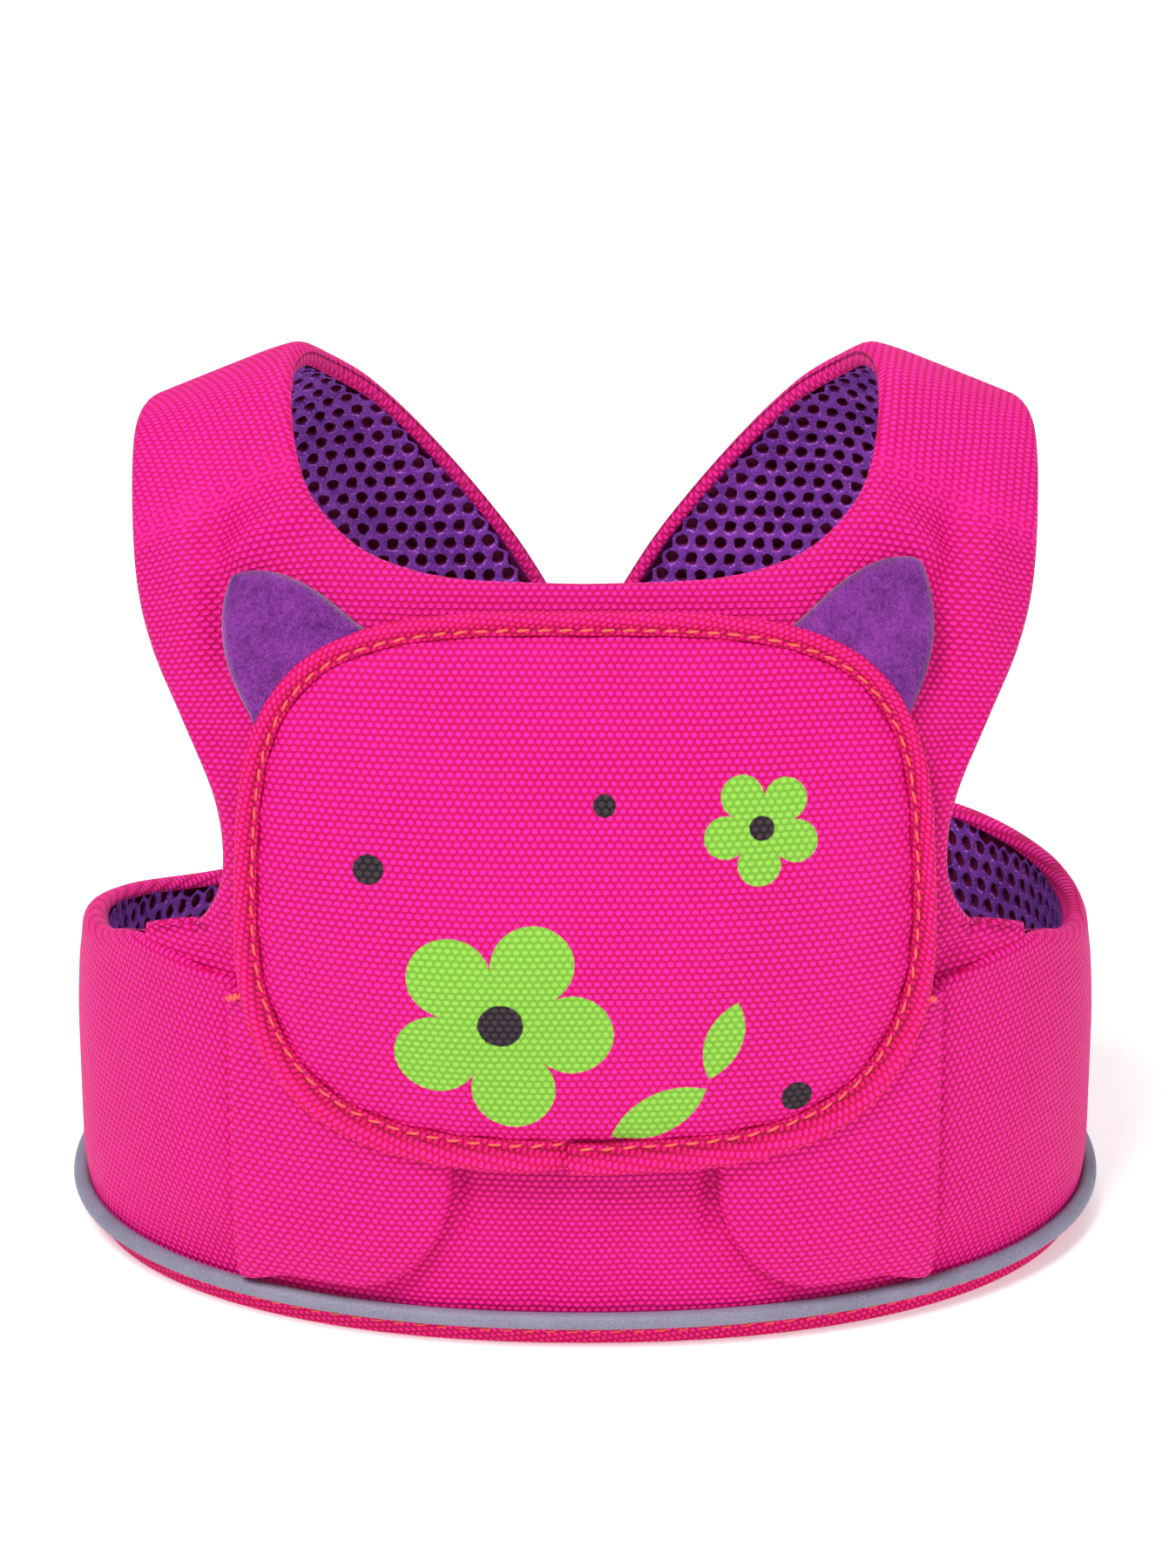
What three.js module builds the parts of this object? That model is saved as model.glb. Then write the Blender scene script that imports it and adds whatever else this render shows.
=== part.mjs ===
// A toddler's padded safety harness, standing on its hem as it does when it has just been taken off.
// Millimetres, +Z up. The wearer looks along -Y, +X is the wearer's left, and the origin is on the
// floor under the middle of the belt.
import * as THREE from 'three';

// Overall form
const beltHalfWidth = 113;
const beltHalfDepth = 75;
const crestHeight = 203;
const hemPinch = 1.5;
const hemPinchHeight = 18;
const sideTaper = 2;
const shoulderStart = 50;
const shoulderSlope = 0.4;
const shoulderBlend = 20;

// Walls and clearances
const fabricWall = 2.6;
const liningWall = 3;
const pieceGap = 0.3;
const edgeTurn = 5;
const hemHeight = 5.6;
const hemWall = 5.4;
const pipingRadius = 1.8;
const lapRise = 18;

// Bib and shoulder straps
const bibHalfWidth = 73.4;
const bibSeamHeight = 80.5;
const armholeWidth = 24;
const neckDrop = 36;
const neckHalfWidth = 61.5;
const strapWidth = 34;
const strapEndHalfGap = 1.2;
const strapEndSlant = 8;

// Belt wings
const beltSideHeight = 71;
const beltFrontRise = 11.6;
const rightWingBack = 58;
const leftWingBack = 76;
const rightWingEnd = 30;
const leftWingEnd = 60;
const wingCorner = 9;
const facingStart = 85;

// Front panel with its bound edge
const panelHalfWidth = 71.7;
const panelHalfHeight = 59.2;
const panelCentreRun = 105.7;
const panelSquareness = 3.4;
const panelEdgeWall = 2.4;
const panelCrown = 4.2;
const bindingWidth = 4.9;
const bindingFootWidth = 7.2;
const bindingThickness = 4.4;
const bindingLap = 7;
const bindingRamp = 9;

// Ears and paws
const earHalfBase = 16.1;
const earHeight = 25;
const earWall = 3.6;
const rightEarOffset = 50.9;
const leftEarOffset = 53.6;
const earLean = 2.2;
const earPoint = 0.75;
const pawInnerX = 27.9;
const pawBottomRun = 13.8;
const pawSeamRun = 10.5;
const pawSeamEase = 12;
const pawCornerAcross = 22;
const pawCornerUp = 28;
const pawTuck = 7;

// Back fastening
const webbingWidth = 25;
const webbingWall = 1.5;
const webbingHeight = 39;
const claspLength = 36;
const claspHeight = 33;
const claspSlot = 4.4;
const claspBar = 3;
const claspCorner = 4;
const claspEndGap = 4;
const yokeHalfWidth = 25;
const yokeDrop = 20;
const yokeStrapHalfWidth = webbingWidth / 2;
const loopClearance = 1.9;
const loopRise = 6;

const floorToShell = hemHeight + pieceGap;
const beltMiddleOffset = -(fabricWall + pieceGap / 2);

const smooth = (from, to, value) => {
  const share = Math.min(Math.max((value - from) / (to - from), 0), 1);
  return share * share * (3 - 2 * share);
};
const mix = (a, b, share) => a + (b - a) * share;

// The centre line of the whole form, from the floor in front, over the shoulders, to the floor
// behind. Depth is a share of beltHalfDepth and height a share of crestHeight.
const profileRows = [
  { depth: -0.965, height: 0 },
  { depth: -0.98, height: 0.04 },
  { depth: -1, height: 0.15 },
  { depth: -0.993, height: 0.305 },
  { depth: -0.94, height: 0.468 },
  { depth: -0.84, height: 0.64 },
  { depth: -0.68, height: 0.788 },
  { depth: -0.44, height: 0.916 },
  { depth: -0.2, height: 0.983 },
  { depth: 0, height: 1 },
  { depth: 0.2, height: 0.981 },
  { depth: 0.44, height: 0.906 },
  { depth: 0.64, height: 0.773 },
  { depth: 0.773, height: 0.626 },
  { depth: 0.867, height: 0.468 },
  { depth: 0.933, height: 0.305 },
  { depth: 0.973, height: 0.15 },
  { depth: 0.97, height: 0.04 },
  { depth: 0.955, height: 0 },
];
const stepsPerRow = 24;
const crestRow = profileRows.findIndex((row) => row.height === 1);
const profileCurve = new THREE.SplineCurve(
  profileRows.map((row) => new THREE.Vector2(row.depth * beltHalfDepth, row.height * crestHeight)),
);
const profilePoints = profileCurve.getPoints(stepsPerRow * (profileRows.length - 1));
const profileRuns = [0];
for (let i = 1; i < profilePoints.length; i++) {
  profileRuns.push(profileRuns[i - 1] + profilePoints[i].distanceTo(profilePoints[i - 1]));
}
const crestIndex = crestRow * stepsPerRow;
const crestRun = profileRuns[crestIndex];
const fullRun = profileRuns[profileRuns.length - 1];

// Linear reading of the profile between the samples that bracket a value.
function readProfile(values, value, from, to) {
  const rising = values[to] > values[from];
  let low = from;
  let high = to;
  while (high - low > 1) {
    const middle = (low + high) >> 1;
    if (values[middle] > value === rising) high = middle;
    else low = middle;
  }
  const share = (value - values[low]) / (values[high] - values[low]);
  return profilePoints[low].clone().lerp(profilePoints[high], share);
}
const profileHeights = profilePoints.map((point) => point.y);
const profileAtRun = (run) => readProfile(profileRuns, run, 0, profileRuns.length - 1);
const frontAtHeight = (height) => readProfile(profileHeights, height, 0, crestIndex);
const backAtHeight = (height) =>
  readProfile(profileHeights, height, crestIndex, profilePoints.length - 1);

// Height on the centre line to the distance run along it, in front and behind.
function runAtHeight(height, behind) {
  const target = (behind ? backAtHeight(height) : frontAtHeight(height)).x;
  const first = behind ? crestIndex : 0;
  const last = behind ? profilePoints.length - 1 : crestIndex;
  for (let i = first; i < last; i++) {
    const a = profileHeights[i];
    const b = profileHeights[i + 1];
    if ((a - height) * (b - height) <= 0) {
      return mix(profileRuns[i], profileRuns[i + 1], (height - a) / (b - a));
    }
  }
  return target;
}

// The plan at each height is a superellipse, rounder at the belt than at the chest.
const planPower = (height) =>
  mix(2.15, 2.8, smooth(0.345 * crestHeight, 0.74 * crestHeight, height));
const halfWidthAt = (height) =>
  beltHalfWidth -
  hemPinch * (1 - smooth(0, hemPinchHeight, height)) -
  sideTaper * smooth(0.63 * beltSideHeight, 1.2 * beltSideHeight, height);

// A point of the outer surface whose centre line point is (depth, height).
function torso(x, depth, height) {
  const power = planPower(height);
  const reach = Math.min(Math.abs(x) / halfWidthAt(height), 1);
  const fullness = Math.pow(1 - Math.pow(reach, power), 1 / power);
  const beyond = Math.max(Math.abs(x) - shoulderStart, 0);
  const eased = beyond < shoulderBlend ? beyond ** 2 / (2 * shoulderBlend) : beyond - shoulderBlend / 2;
  const drop = shoulderSlope * eased * smooth(0.47 * crestHeight, 0.96 * crestHeight, height);
  return new THREE.Vector3(x, depth * fullness, height - drop);
}

// Moves a point of a surface by lift along its normal. The surface is a function of (a, b), and
// a to b turns round the outward normal.
function lifted(surface, a, b, lift) {
  const step = 0.4;
  const alongA = surface(a + step, b).sub(surface(a - step, b));
  const alongB = surface(a, b + step).sub(surface(a, b - step));
  return surface(a, b).addScaledVector(alongA.cross(alongB).normalize(), lift);
}

// The sheet surface takes x and the run along the centre line, over the shoulders and all.
const sheetSurface = (x, run) => {
  const centre = profileAtRun(Math.min(Math.max(run, 0), fullRun));
  return torso(x, centre.x, centre.y);
};
const onSheet = (point, lift = 0) => lifted(sheetSurface, point.x, point.y, lift);

// The belt surface takes an angle in degrees from the front, positive towards +X, and a height.
const beltSurface = (angle, height) => {
  const turn = THREE.MathUtils.degToRad(angle);
  const share = Math.pow(Math.abs(Math.sin(turn)), 2 / planPower(height));
  const x = Math.sign(Math.sin(turn)) * share * halfWidthAt(height);
  const centre = Math.cos(turn) >= 0 ? frontAtHeight(height) : backAtHeight(height);
  return torso(x, centre.x, height);
};
const onBelt = (angle, height, lift = 0) => lifted(beltSurface, angle, height, lift);

// The angle of the belt surface at a given x, in front or behind.
function angleAtX(x, height, behind) {
  const sine = Math.pow(Math.min(Math.abs(x) / halfWidthAt(height), 1), planPower(height) / 2);
  const angle = THREE.MathUtils.radToDeg(Math.asin(sine));
  return (x < 0 ? -1 : 1) * (behind ? 180 - angle : angle);
}

// A closed solid between an outer and an inner skin. Patches that share points are welded, and
// every open edge gets a wall.
class Padding {
  constructor() {
    this.outer = [];
    this.inner = [];
    this.faces = [];
    this.known = new Map();
  }

  vertex({ outer, inner }) {
    const key = [outer.x, outer.y, outer.z].map((value) => Math.round(value * 200)).join();
    if (!this.known.has(key)) {
      this.known.set(key, this.outer.length);
      this.outer.push(outer);
      this.inner.push(inner);
    }
    return this.known.get(key);
  }

  triangle(a, b, c) {
    if (a !== b && b !== c && c !== a) this.faces.push([a, b, c]);
  }

  // place(u, v) gives {outer, inner} for u and v from 0 to 1.
  patch(columns, rows, place) {
    const index = [];
    for (let row = 0; row <= rows; row++) {
      for (let column = 0; column <= columns; column++) {
        index.push(this.vertex(place(column / columns, row / rows)));
      }
    }
    for (let row = 0; row < rows; row++) {
      for (let column = 0; column < columns; column++) {
        const corner = row * (columns + 1) + column;
        const above = corner + columns + 1;
        this.triangle(index[corner], index[corner + 1], index[above + 1]);
        this.triangle(index[corner], index[above + 1], index[above]);
      }
    }
    return this;
  }

  geometry() {
    const count = this.outer.length;
    const open = new Map();
    const triangles = [];
    for (const [a, b, c] of this.faces) {
      triangles.push([a, b, c], [c + count, b + count, a + count]);
      for (const [from, to] of [[a, b], [b, c], [c, a]]) {
        if (!open.delete(to + '_' + from)) open.set(from + '_' + to, [from, to]);
      }
    }
    for (const [from, to] of open.values()) {
      triangles.push([from, from + count, to + count], [from, to + count, to]);
    }
    return closedMesh([...this.outer, ...this.inner], triangles);
  }
}

// A BufferGeometry of points and triangles, turned so that its faces point outwards.
function closedMesh(points, triangles) {
  let volume = 0;
  for (const [a, b, c] of triangles) {
    volume += points[a].dot(new THREE.Vector3().crossVectors(points[b], points[c]));
  }
  const order = volume < 0 ? ([a, b, c]) => [a, c, b] : (triangle) => triangle;
  const geometry = new THREE.BufferGeometry().setFromPoints(points);
  geometry.setIndex(triangles.flatMap(order));
  return geometry;
}

// Carries a closed section along frames {at, across, up}, with flat ends.
function sweep(frames, section) {
  const points = [];
  for (const { at, across, up } of frames) {
    for (const [a, b] of section) {
      points.push(at.clone().addScaledVector(across, a).addScaledVector(up, b));
    }
  }
  const sides = section.length;
  const triangles = [];
  for (let ring = 0; ring < frames.length - 1; ring++) {
    for (let side = 0; side < sides; side++) {
      const a = ring * sides + side;
      const b = ring * sides + ((side + 1) % sides);
      triangles.push([a, b, b + sides], [a, b + sides, a + sides]);
    }
  }
  const last = (frames.length - 1) * sides;
  for (let side = 1; side < sides - 1; side++) {
    triangles.push([0, side + 1, side], [last, last + side, last + side + 1]);
  }
  return closedMesh(points, triangles);
}

// A rounded section, width by thickness, as points round a superellipse.
const roundedSection = (width, thickness, sides, power) =>
  Array.from({ length: sides }, (_, i) => {
    const turn = ((i + 0.5) / sides) * 2 * Math.PI;
    const soften = (value) => Math.sign(value) * Math.pow(Math.abs(value), 2 / power);
    return [(width / 2) * soften(Math.cos(turn)), (thickness / 2) * soften(Math.sin(turn))];
  });

// Bib and shoulder straps. The inner edge starts at the middle of the neckline and ends at the
// yoke. Its x is a share of neckHalfWidth. Run up is a share of the way from the neckline to the
// crest, and run down a share of the way from the crest to the floor behind.
const innerEdgeRows = [
  { x: 0, up: 0 },
  { x: 0.42, up: 0.015 },
  { x: 0.655, up: 0.065 },
  { x: 0.81, up: 0.15 },
  { x: 0.935, up: 0.3 },
  { x: 0.99, up: 0.46 },
  { x: 1.015, up: 0.64 },
  { x: 1.02, up: 0.82 },
  { x: 1, down: 0.01 },
  { x: 0.9, down: 0.1 },
  { x: 0.745, down: 0.17 },
  { x: 0.55, down: 0.255 },
  { x: 0.37, down: 0.335 },
  { x: 0.22, down: 0.405 },
];
const neckRun = runAtHeight(crestHeight - neckDrop, false);
const yokeRun = crestRun + 0.515 * (fullRun - crestRun);
const rowRun = (row) =>
  row.up === undefined
    ? crestRun + row.down * (fullRun - crestRun)
    : neckRun + row.up * (crestRun - neckRun);
const innerEdge = new THREE.SplineCurve([
  ...innerEdgeRows.map((row) => new THREE.Vector2(row.x * neckHalfWidth, rowRun(row))),
  new THREE.Vector2(strapEndHalfGap, yokeRun),
]);

// The outer edge leaves the bib's tip beside the belt, rounds the armhole and runs on beside the
// inner edge. Out is a share of armholeWidth beyond the bib's seam, up a share of the way from the
// seam's top to the crest, and x a share of the strap's outermost line at the crest.
const bibSeamRun = runAtHeight(bibSeamHeight, false);
const strapOuterX = neckHalfWidth + strapWidth;
const armholeRows = [
  { out: 0.96, up: 0.025 },
  { out: 0.7, up: 0.035 },
  { out: 0.46, up: 0.06 },
  { out: 0.27, up: 0.105 },
  { out: 0.17, up: 0.17 },
  { out: 0.23, up: 0.27 },
  { out: 0.52, up: 0.4 },
  { out: 0.79, up: 0.52 },
  { out: 0.94, up: 0.64 },
  { out: 0.99, up: 0.8 },
  { out: 0.97, up: 0.94 },
];
const backOuterRows = [
  { x: 0.985, down: 0.04 },
  { x: 0.91, down: 0.14 },
  { x: 0.79, down: 0.25 },
  { x: 0.65, down: 0.37 },
  { x: 0.5, down: 0.47 },
];
const strapEndOuter = new THREE.Vector2(strapEndHalfGap + strapWidth, yokeRun + strapEndSlant);
const outerEdge = new THREE.SplineCurve([
  ...armholeRows.map(
    (row) =>
      new THREE.Vector2(bibHalfWidth + row.out * armholeWidth, mix(bibSeamRun, crestRun, row.up)),
  ),
  ...backOuterRows.map(
    (row) => new THREE.Vector2(row.x * strapOuterX, crestRun + row.down * (fullRun - crestRun)),
  ),
  strapEndOuter,
]);

// A point of an edge curve, moved by inset towards the strap.
function insetPoint(curve, share, inset, towards) {
  const point = curve.getPointAt(share);
  const tangent = curve.getTangentAt(share);
  return point.add(new THREE.Vector2(tangent.y, -tangent.x).multiplyScalar(inset * towards));
}
const innerRootShare = 0.3;
const outerRootShare = 0.3;
const innerAt = (share, inset) => insetPoint(innerEdge, share, inset, 1);
const outerAt = (share, inset) => insetPoint(outerEdge, share, inset, -1);
const neckShare = 0.62;

// Point of the bib's half, u from the middle to the side and v from the hem to the neckline: the
// blend of its four edges, less the blend of its corners.
function bibPoint(u, v, { inset, bottomRun, rows, seamRows, tipRows }) {
  const sideTop = outerAt(outerRootShare, inset);
  const top = (share) => {
    if (share === 0) return new THREE.Vector2(0, innerAt(0, inset).y);
    if (share <= neckShare) return innerAt((share / neckShare) * innerRootShare, inset);
    return innerAt(innerRootShare, inset).lerp(sideTop, (share - neckShare) / (1 - neckShare));
  };
  const seamTop = new THREE.Vector2(bibHalfWidth, runAtHeight(bibSeamHeight - inset, false));
  const side = (share) => {
    const row = Math.round(share * rows);
    const beyondSeam = row - seamRows;
    if (beyondSeam <= 0) {
      return new THREE.Vector2(bibHalfWidth, mix(bottomRun, seamTop.y, row / seamRows));
    }
    if (beyondSeam < tipRows) return seamTop.clone().lerp(outerAt(0, inset), beyondSeam / tipRows);
    return outerAt(((beyondSeam - tipRows) / (rows - seamRows - tipRows)) * outerRootShare, inset);
  };
  const bottom = (share) => new THREE.Vector2(share * bibHalfWidth, bottomRun);
  const middle = (share) => new THREE.Vector2(0, mix(bottomRun, top(0).y, share));
  const point = bottom(u).multiplyScalar(1 - v).addScaledVector(top(u), v);
  point.addScaledVector(middle(v), 1 - u).addScaledVector(side(v), u);
  point.addScaledVector(bottom(0), -(1 - u) * (1 - v)).addScaledVector(bottom(1), -u * (1 - v));
  return point.addScaledVector(top(0), -(1 - u) * v).addScaledVector(top(1), -u * v);
}

function strapPoint(u, v, inset, endTrim) {
  const inner = innerAt(mix(innerRootShare, 1 - endTrim, v), inset);
  return inner.lerp(outerAt(mix(outerRootShare, 1 - endTrim, v), inset), u);
}

// The front shell or its lining: one bib with two straps that run on over the shoulders.
function bibAndStraps(sheet) {
  const { inset, lift, wall, endTrim, columns, strapColumns, rows, strapRows } = sheet;
  const padding = new Padding();
  const bibColumns = columns + strapColumns;
  const spread = (u) =>
    u * bibColumns <= columns
      ? (u * bibColumns * neckShare) / columns
      : neckShare + ((u * bibColumns - columns) / strapColumns) * (1 - neckShare);
  const skins = (point) => ({
    outer: onSheet(point, lift),
    inner: onSheet(point, lift - wall),
  });
  const mirrored = (point) => new THREE.Vector2(-point.x, point.y);
  const bib = (u, v) => bibPoint(spread(u), v, sheet);
  const strap = (u, v) => strapPoint(u, v, inset, endTrim);
  padding.patch(bibColumns, rows, (u, v) => skins(bib(u, v)));
  padding.patch(bibColumns, rows, (u, v) => skins(mirrored(bib(1 - u, v))));
  padding.patch(strapColumns, strapRows, (u, v) => skins(strap(u, v)));
  padding.patch(strapColumns, strapRows, (u, v) => skins(mirrored(strap(1 - u, v))));
  return padding.geometry();
}

// Belt wings. The table gives the top edge by angle from the front in degrees. Rise weighs
// beltFrontRise, and back is a share of the way from beltSideHeight to the wing's own back height.
const wingTopRows = [
  { angle: 38, rise: 0.8, back: 0 },
  { angle: 48, rise: 0.93, back: 0 },
  { angle: 57, rise: 0.98, back: 0 },
  { angle: 63, rise: 0.82, back: 0 },
  { angle: 74, rise: 0.36, back: 0 },
  { angle: 88, rise: 0.02, back: 0 },
  { angle: 108, rise: 0, back: 0.45 },
  { angle: 132, rise: 0, back: 1 },
  { angle: 168, rise: 0, back: 1 },
];
function wingTopAt(angle, backHeight) {
  const last = wingTopRows.length - 1;
  const within = Math.min(Math.max(angle, wingTopRows[0].angle), wingTopRows[last].angle);
  const next = Math.max(wingTopRows.findIndex((row) => row.angle >= within), 1);
  const low = wingTopRows[next - 1];
  const share = (within - low.angle) / (wingTopRows[next].angle - low.angle);
  const heights = new THREE.SplineCurve(
    wingTopRows.map(
      ({ rise, back }, i) =>
        new THREE.Vector2(i, rise * beltFrontRise + mix(beltSideHeight, backHeight, back)),
    ),
  );
  return heights.getPoint((next - 1 + share) / last).y;
}

// The front end of a wing lies on the bib, so its outer skin comes in from there to the side.
const lapLift = fabricWall + pieceGap;
const lapStart = floorToShell + 3 * pipingRadius;
const wingLift = (x, height) =>
  lapLift *
  (1 - smooth(bibHalfWidth + fabricWall, 0.94 * beltHalfWidth, Math.abs(x))) *
  smooth(lapStart, lapStart + lapRise, height);

// One layer of a wing, side +1 towards +X, from a line at startX to a line at endX behind.
// The end at the middle of the back is rounded by wingCorner at the top.
function beltWing({ side, end, back, inset, lift, wall, columns, rows, startX, startBehind, lapped }) {
  const place = (u, v) => {
    const share = startBehind ? u : u * mix(0.6, 1, u);
    const bottom = floorToShell + inset * 0.5;
    const reach = angleAtX(end, bottom, true);
    const angleFor = (height) =>
      mix(angleAtX(startX, height, startBehind), angleAtX(end, height, true), share);
    const topAngle = angleFor(beltSideHeight);
    const nearEnd = Math.max((topAngle - (reach - 9)) / 9, 0);
    const rounding = startBehind || lapped ? wingCorner * Math.min(nearEnd, 1) ** 2 : 0;
    const top = wingTopAt(topAngle, back) - inset * 1.2 - rounding;
    const height = mix(bottom, top, v);
    const angle = side * angleFor(height);
    const inFront = lapped && Math.abs(angle) < 90;
    const skin = lift + (inFront ? wingLift(beltSurface(angle, height).x, height) : 0);
    return { outer: onBelt(angle, height, skin), inner: onBelt(angle, height, skin - wall) };
  };
  return new Padding().patch(columns, rows, place).geometry();
}

// Panel outline: a superellipse in the sheet.
function outlineAt(angle) {
  const turn = THREE.MathUtils.degToRad(angle);
  const soften = (value) => Math.sign(value) * Math.pow(Math.abs(value), 2 / panelSquareness);
  return new THREE.Vector2(
    panelHalfWidth * soften(Math.cos(turn)),
    panelCentreRun + panelHalfHeight * soften(Math.sin(turn)),
  );
}

// The outline sampled once at even steps of length, from the bottom middle, anticlockwise.
const outlineCurve = new THREE.CatmullRomCurve3(
  Array.from({ length: 96 }, (_, i) => {
    const point = outlineAt(-90 + (i / 96) * 360);
    return new THREE.Vector3(point.x, point.y, 0);
  }),
  true,
);
outlineCurve.arcLengthDivisions = 600;
const outlineLength = outlineCurve.getLength();
function outlinePoint(distance, outward) {
  const share = (((distance / outlineLength) % 1) + 1) % 1;
  const at = outlineCurve.getPointAt(share);
  const tangent = outlineCurve.getTangentAt(share);
  return new THREE.Vector2(at.x + tangent.y * outward, at.y - tangent.x * outward);
}

// The panel lies on the bib at its top and stands off it by a paw's wall lower down.
const panelTopRun = panelCentreRun + panelHalfHeight;
const panelBottomRun = panelCentreRun - panelHalfHeight;
const panelStand = (run) =>
  1.5 * pieceGap + lapLift * (1 - smooth(bibSeamRun, panelTopRun - 0.4 * panelHalfHeight, run));

// The tape shows wider at the panel's foot than at its sides and top.
const bindingWidthAt = (run) =>
  mix(bindingFootWidth, bindingWidth, smooth(panelBottomRun + 13, panelCentreRun, run));

function frontPanel() {
  const centre = new THREE.Vector2(0, panelCentreRun);
  const place = (u, v) => {
    const inset = bindingWidthAt(outlinePoint(u * outlineLength, 0).y) + pieceGap;
    const point = centre.clone().lerp(outlinePoint(u * outlineLength, -inset), v);
    const base = panelStand(point.y);
    return {
      outer: onSheet(point, base + panelEdgeWall + panelCrown * (1 - Math.pow(v, 3))),
      inner: onSheet(point, base),
    };
  };
  return new Padding().patch(36, 6, place).geometry();
}

// The tape round the panel's edge, whose end laps over its start at the bottom.
function panelBinding() {
  const steps = 64;
  const start = bindingLap / 2;
  const finish = -bindingLap / 2 - outlineLength;
  const lapWall = bindingThickness / 2;
  const frames = Array.from({ length: steps + 1 }, (_, i) => {
    const eased = i / steps;
    const distance = mix(start, finish, eased);
    const width = bindingWidthAt(outlinePoint(distance, 0).y);
    const point = outlinePoint(distance, -width / 2);
    const beside = outlinePoint(distance, width / 2);
    const fromStart = start - distance;
    const fromEnd = distance - finish;
    const under = 1 - smooth(bindingLap, bindingLap + bindingRamp, fromStart);
    const over = 1 - smooth(bindingLap, bindingLap + bindingRamp, fromEnd);
    const wall = mix(bindingThickness, lapWall, Math.max(under, over));
    const lift = panelStand(point.y) + wall / 2 + over * (lapWall + pieceGap);
    const at = onSheet(point, lift);
    const up = onSheet(point, lift + 1).sub(at);
    const across = onSheet(beside, lift).sub(at).setLength(width / bindingWidth);
    return { at, across, up: up.multiplyScalar(wall / bindingThickness) };
  });
  return sweep(frames, roundedSection(bindingWidth, bindingThickness, 8, 2.6));
}

// An ear lies on the bib just outside the panel's binding and narrows to a round tip that leans
// towards the shoulder.
function ear(side) {
  const towardsTop = side > 0 ? 1 : -1;
  const offset = side > 0 ? leftEarOffset : rightEarOffset;
  const distance = outlineLength * (side > 0 ? 0.25 : 0.75) + towardsTop * offset;
  const place = (u, v) => {
    const half = earHalfBase * Math.pow(1 - Math.pow(v, earPoint), earPoint);
    const along = (2 * u - 1) * half + towardsTop * earLean * v;
    const point = outlinePoint(distance + along, pieceGap + v * earHeight);
    const rim = 1 - Math.pow(Math.abs(2 * u - 1), 3) * 0.5;
    const wall = earWall * rim * (1 - 0.4 * Math.pow(v, 4));
    return { outer: onSheet(point, pieceGap + wall), inner: onSheet(point, pieceGap) };
  };
  return new Padding().patch(8, 8, place).geometry();
}

// A paw is the front end of a wing, sewn to it at the bib's seam. It laps over the bib, goes up
// under the panel, and is rounded at its lower inner corner.
function paw(side) {
  const outerX = bibHalfWidth - pieceGap / 2;
  const place = (u, v) => {
    const x = mix(outerX, pawInnerX, u);
    const reach = Math.pow(Math.min(x / panelHalfWidth, 1), panelSquareness);
    const panelEdge =
      panelCentreRun - panelHalfHeight * Math.pow(1 - reach, 1 / panelSquareness);
    const top = Math.min(panelEdge + pawTuck, bibSeamRun - fabricWall);
    const corner = Math.max(1 - (x - pawInnerX) / pawCornerAcross, 0);
    const rounding = pawCornerUp * (1 - Math.sqrt(1 - corner ** 2));
    const low = mix(pawBottomRun, pawSeamRun, smooth(outerX - pawSeamEase, outerX, x));
    const bottom = low + rounding;
    const point = new THREE.Vector2(side * x, mix(bottom, top, v));
    return { outer: onSheet(point, lapLift), inner: onSheet(point, pieceGap) };
  };
  return new Padding().patch(12, 7, place).geometry();
}

// The hem tape and the reflective cord above it run from one wing's end round the front.
const endAngle = (side, end, height) => angleAtX(side * end, height, true);
function hemBinding() {
  const place = (u, v) => {
    const height = v * hemHeight;
    const angle = mix(
      endAngle(-1, rightWingEnd, hemHeight),
      endAngle(1, leftWingEnd, hemHeight),
      u,
    );
    const outer = onBelt(angle, Math.max(height, 1));
    const inner = onBelt(angle, Math.max(height, 1), -hemWall);
    outer.z = height;
    inner.z = height;
    return { outer, inner };
  };
  return new Padding().patch(60, 1, place).geometry();
}

function reflectivePiping() {
  const height = floorToShell + pipingRadius;
  const steps = 60;
  const frames = Array.from({ length: steps + 1 }, (_, i) => {
    const angle = mix(
      endAngle(-1, rightWingEnd, height),
      endAngle(1, leftWingEnd, height),
      i / steps,
    );
    const at = onBelt(angle, height, pipingRadius + pieceGap);
    const across = onBelt(angle, height, pipingRadius + pieceGap + 1).sub(at);
    return { at, across, up: new THREE.Vector3(0, 0, 1) };
  });
  return sweep(frames, roundedSection(2 * pipingRadius, 2 * pipingRadius, 7, 2));
}

// Back yoke that joins the straps' ends, and the webbing that hangs from it.
const yokeBottomRun = yokeRun + yokeDrop;
function yokePad(lift, wall, inset) {
  const endOuter = strapEndOuter;
  const place = (u, v) => {
    const share = Math.abs(2 * u - 1);
    const topX = share * (endOuter.x - inset);
    const topRun = mix(yokeRun, endOuter.y, share) + pieceGap * 2 + inset;
    const point = new THREE.Vector2(
      Math.sign(2 * u - 1) * mix(topX, share * (yokeHalfWidth - inset), v),
      mix(topRun, yokeBottomRun - inset, v),
    );
    return { outer: onSheet(point, lift), inner: onSheet(point, lift - wall) };
  };
  return new Padding().patch(12, 4, place).geometry();
}

// A flat strap whose centre line lies in a plane, given wall each way and extruded by width.
function ribbon(points, wall, width) {
  const line = points.map((point) => new THREE.Vector2(...point));
  const normals = line.map((point, i) => {
    const before = line[Math.max(i - 1, 0)];
    const after = line[Math.min(i + 1, line.length - 1)];
    const along = after.clone().sub(before).normalize();
    return new THREE.Vector2(-along.y, along.x);
  });
  const left = line.map((point, i) => point.clone().addScaledVector(normals[i], wall / 2));
  const right = line.map((point, i) => point.clone().addScaledVector(normals[i], -wall / 2));
  const shape = new THREE.Shape([...left, ...right.reverse()]);
  return new THREE.ExtrudeGeometry(shape, { depth: width, bevelEnabled: false });
}

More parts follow.
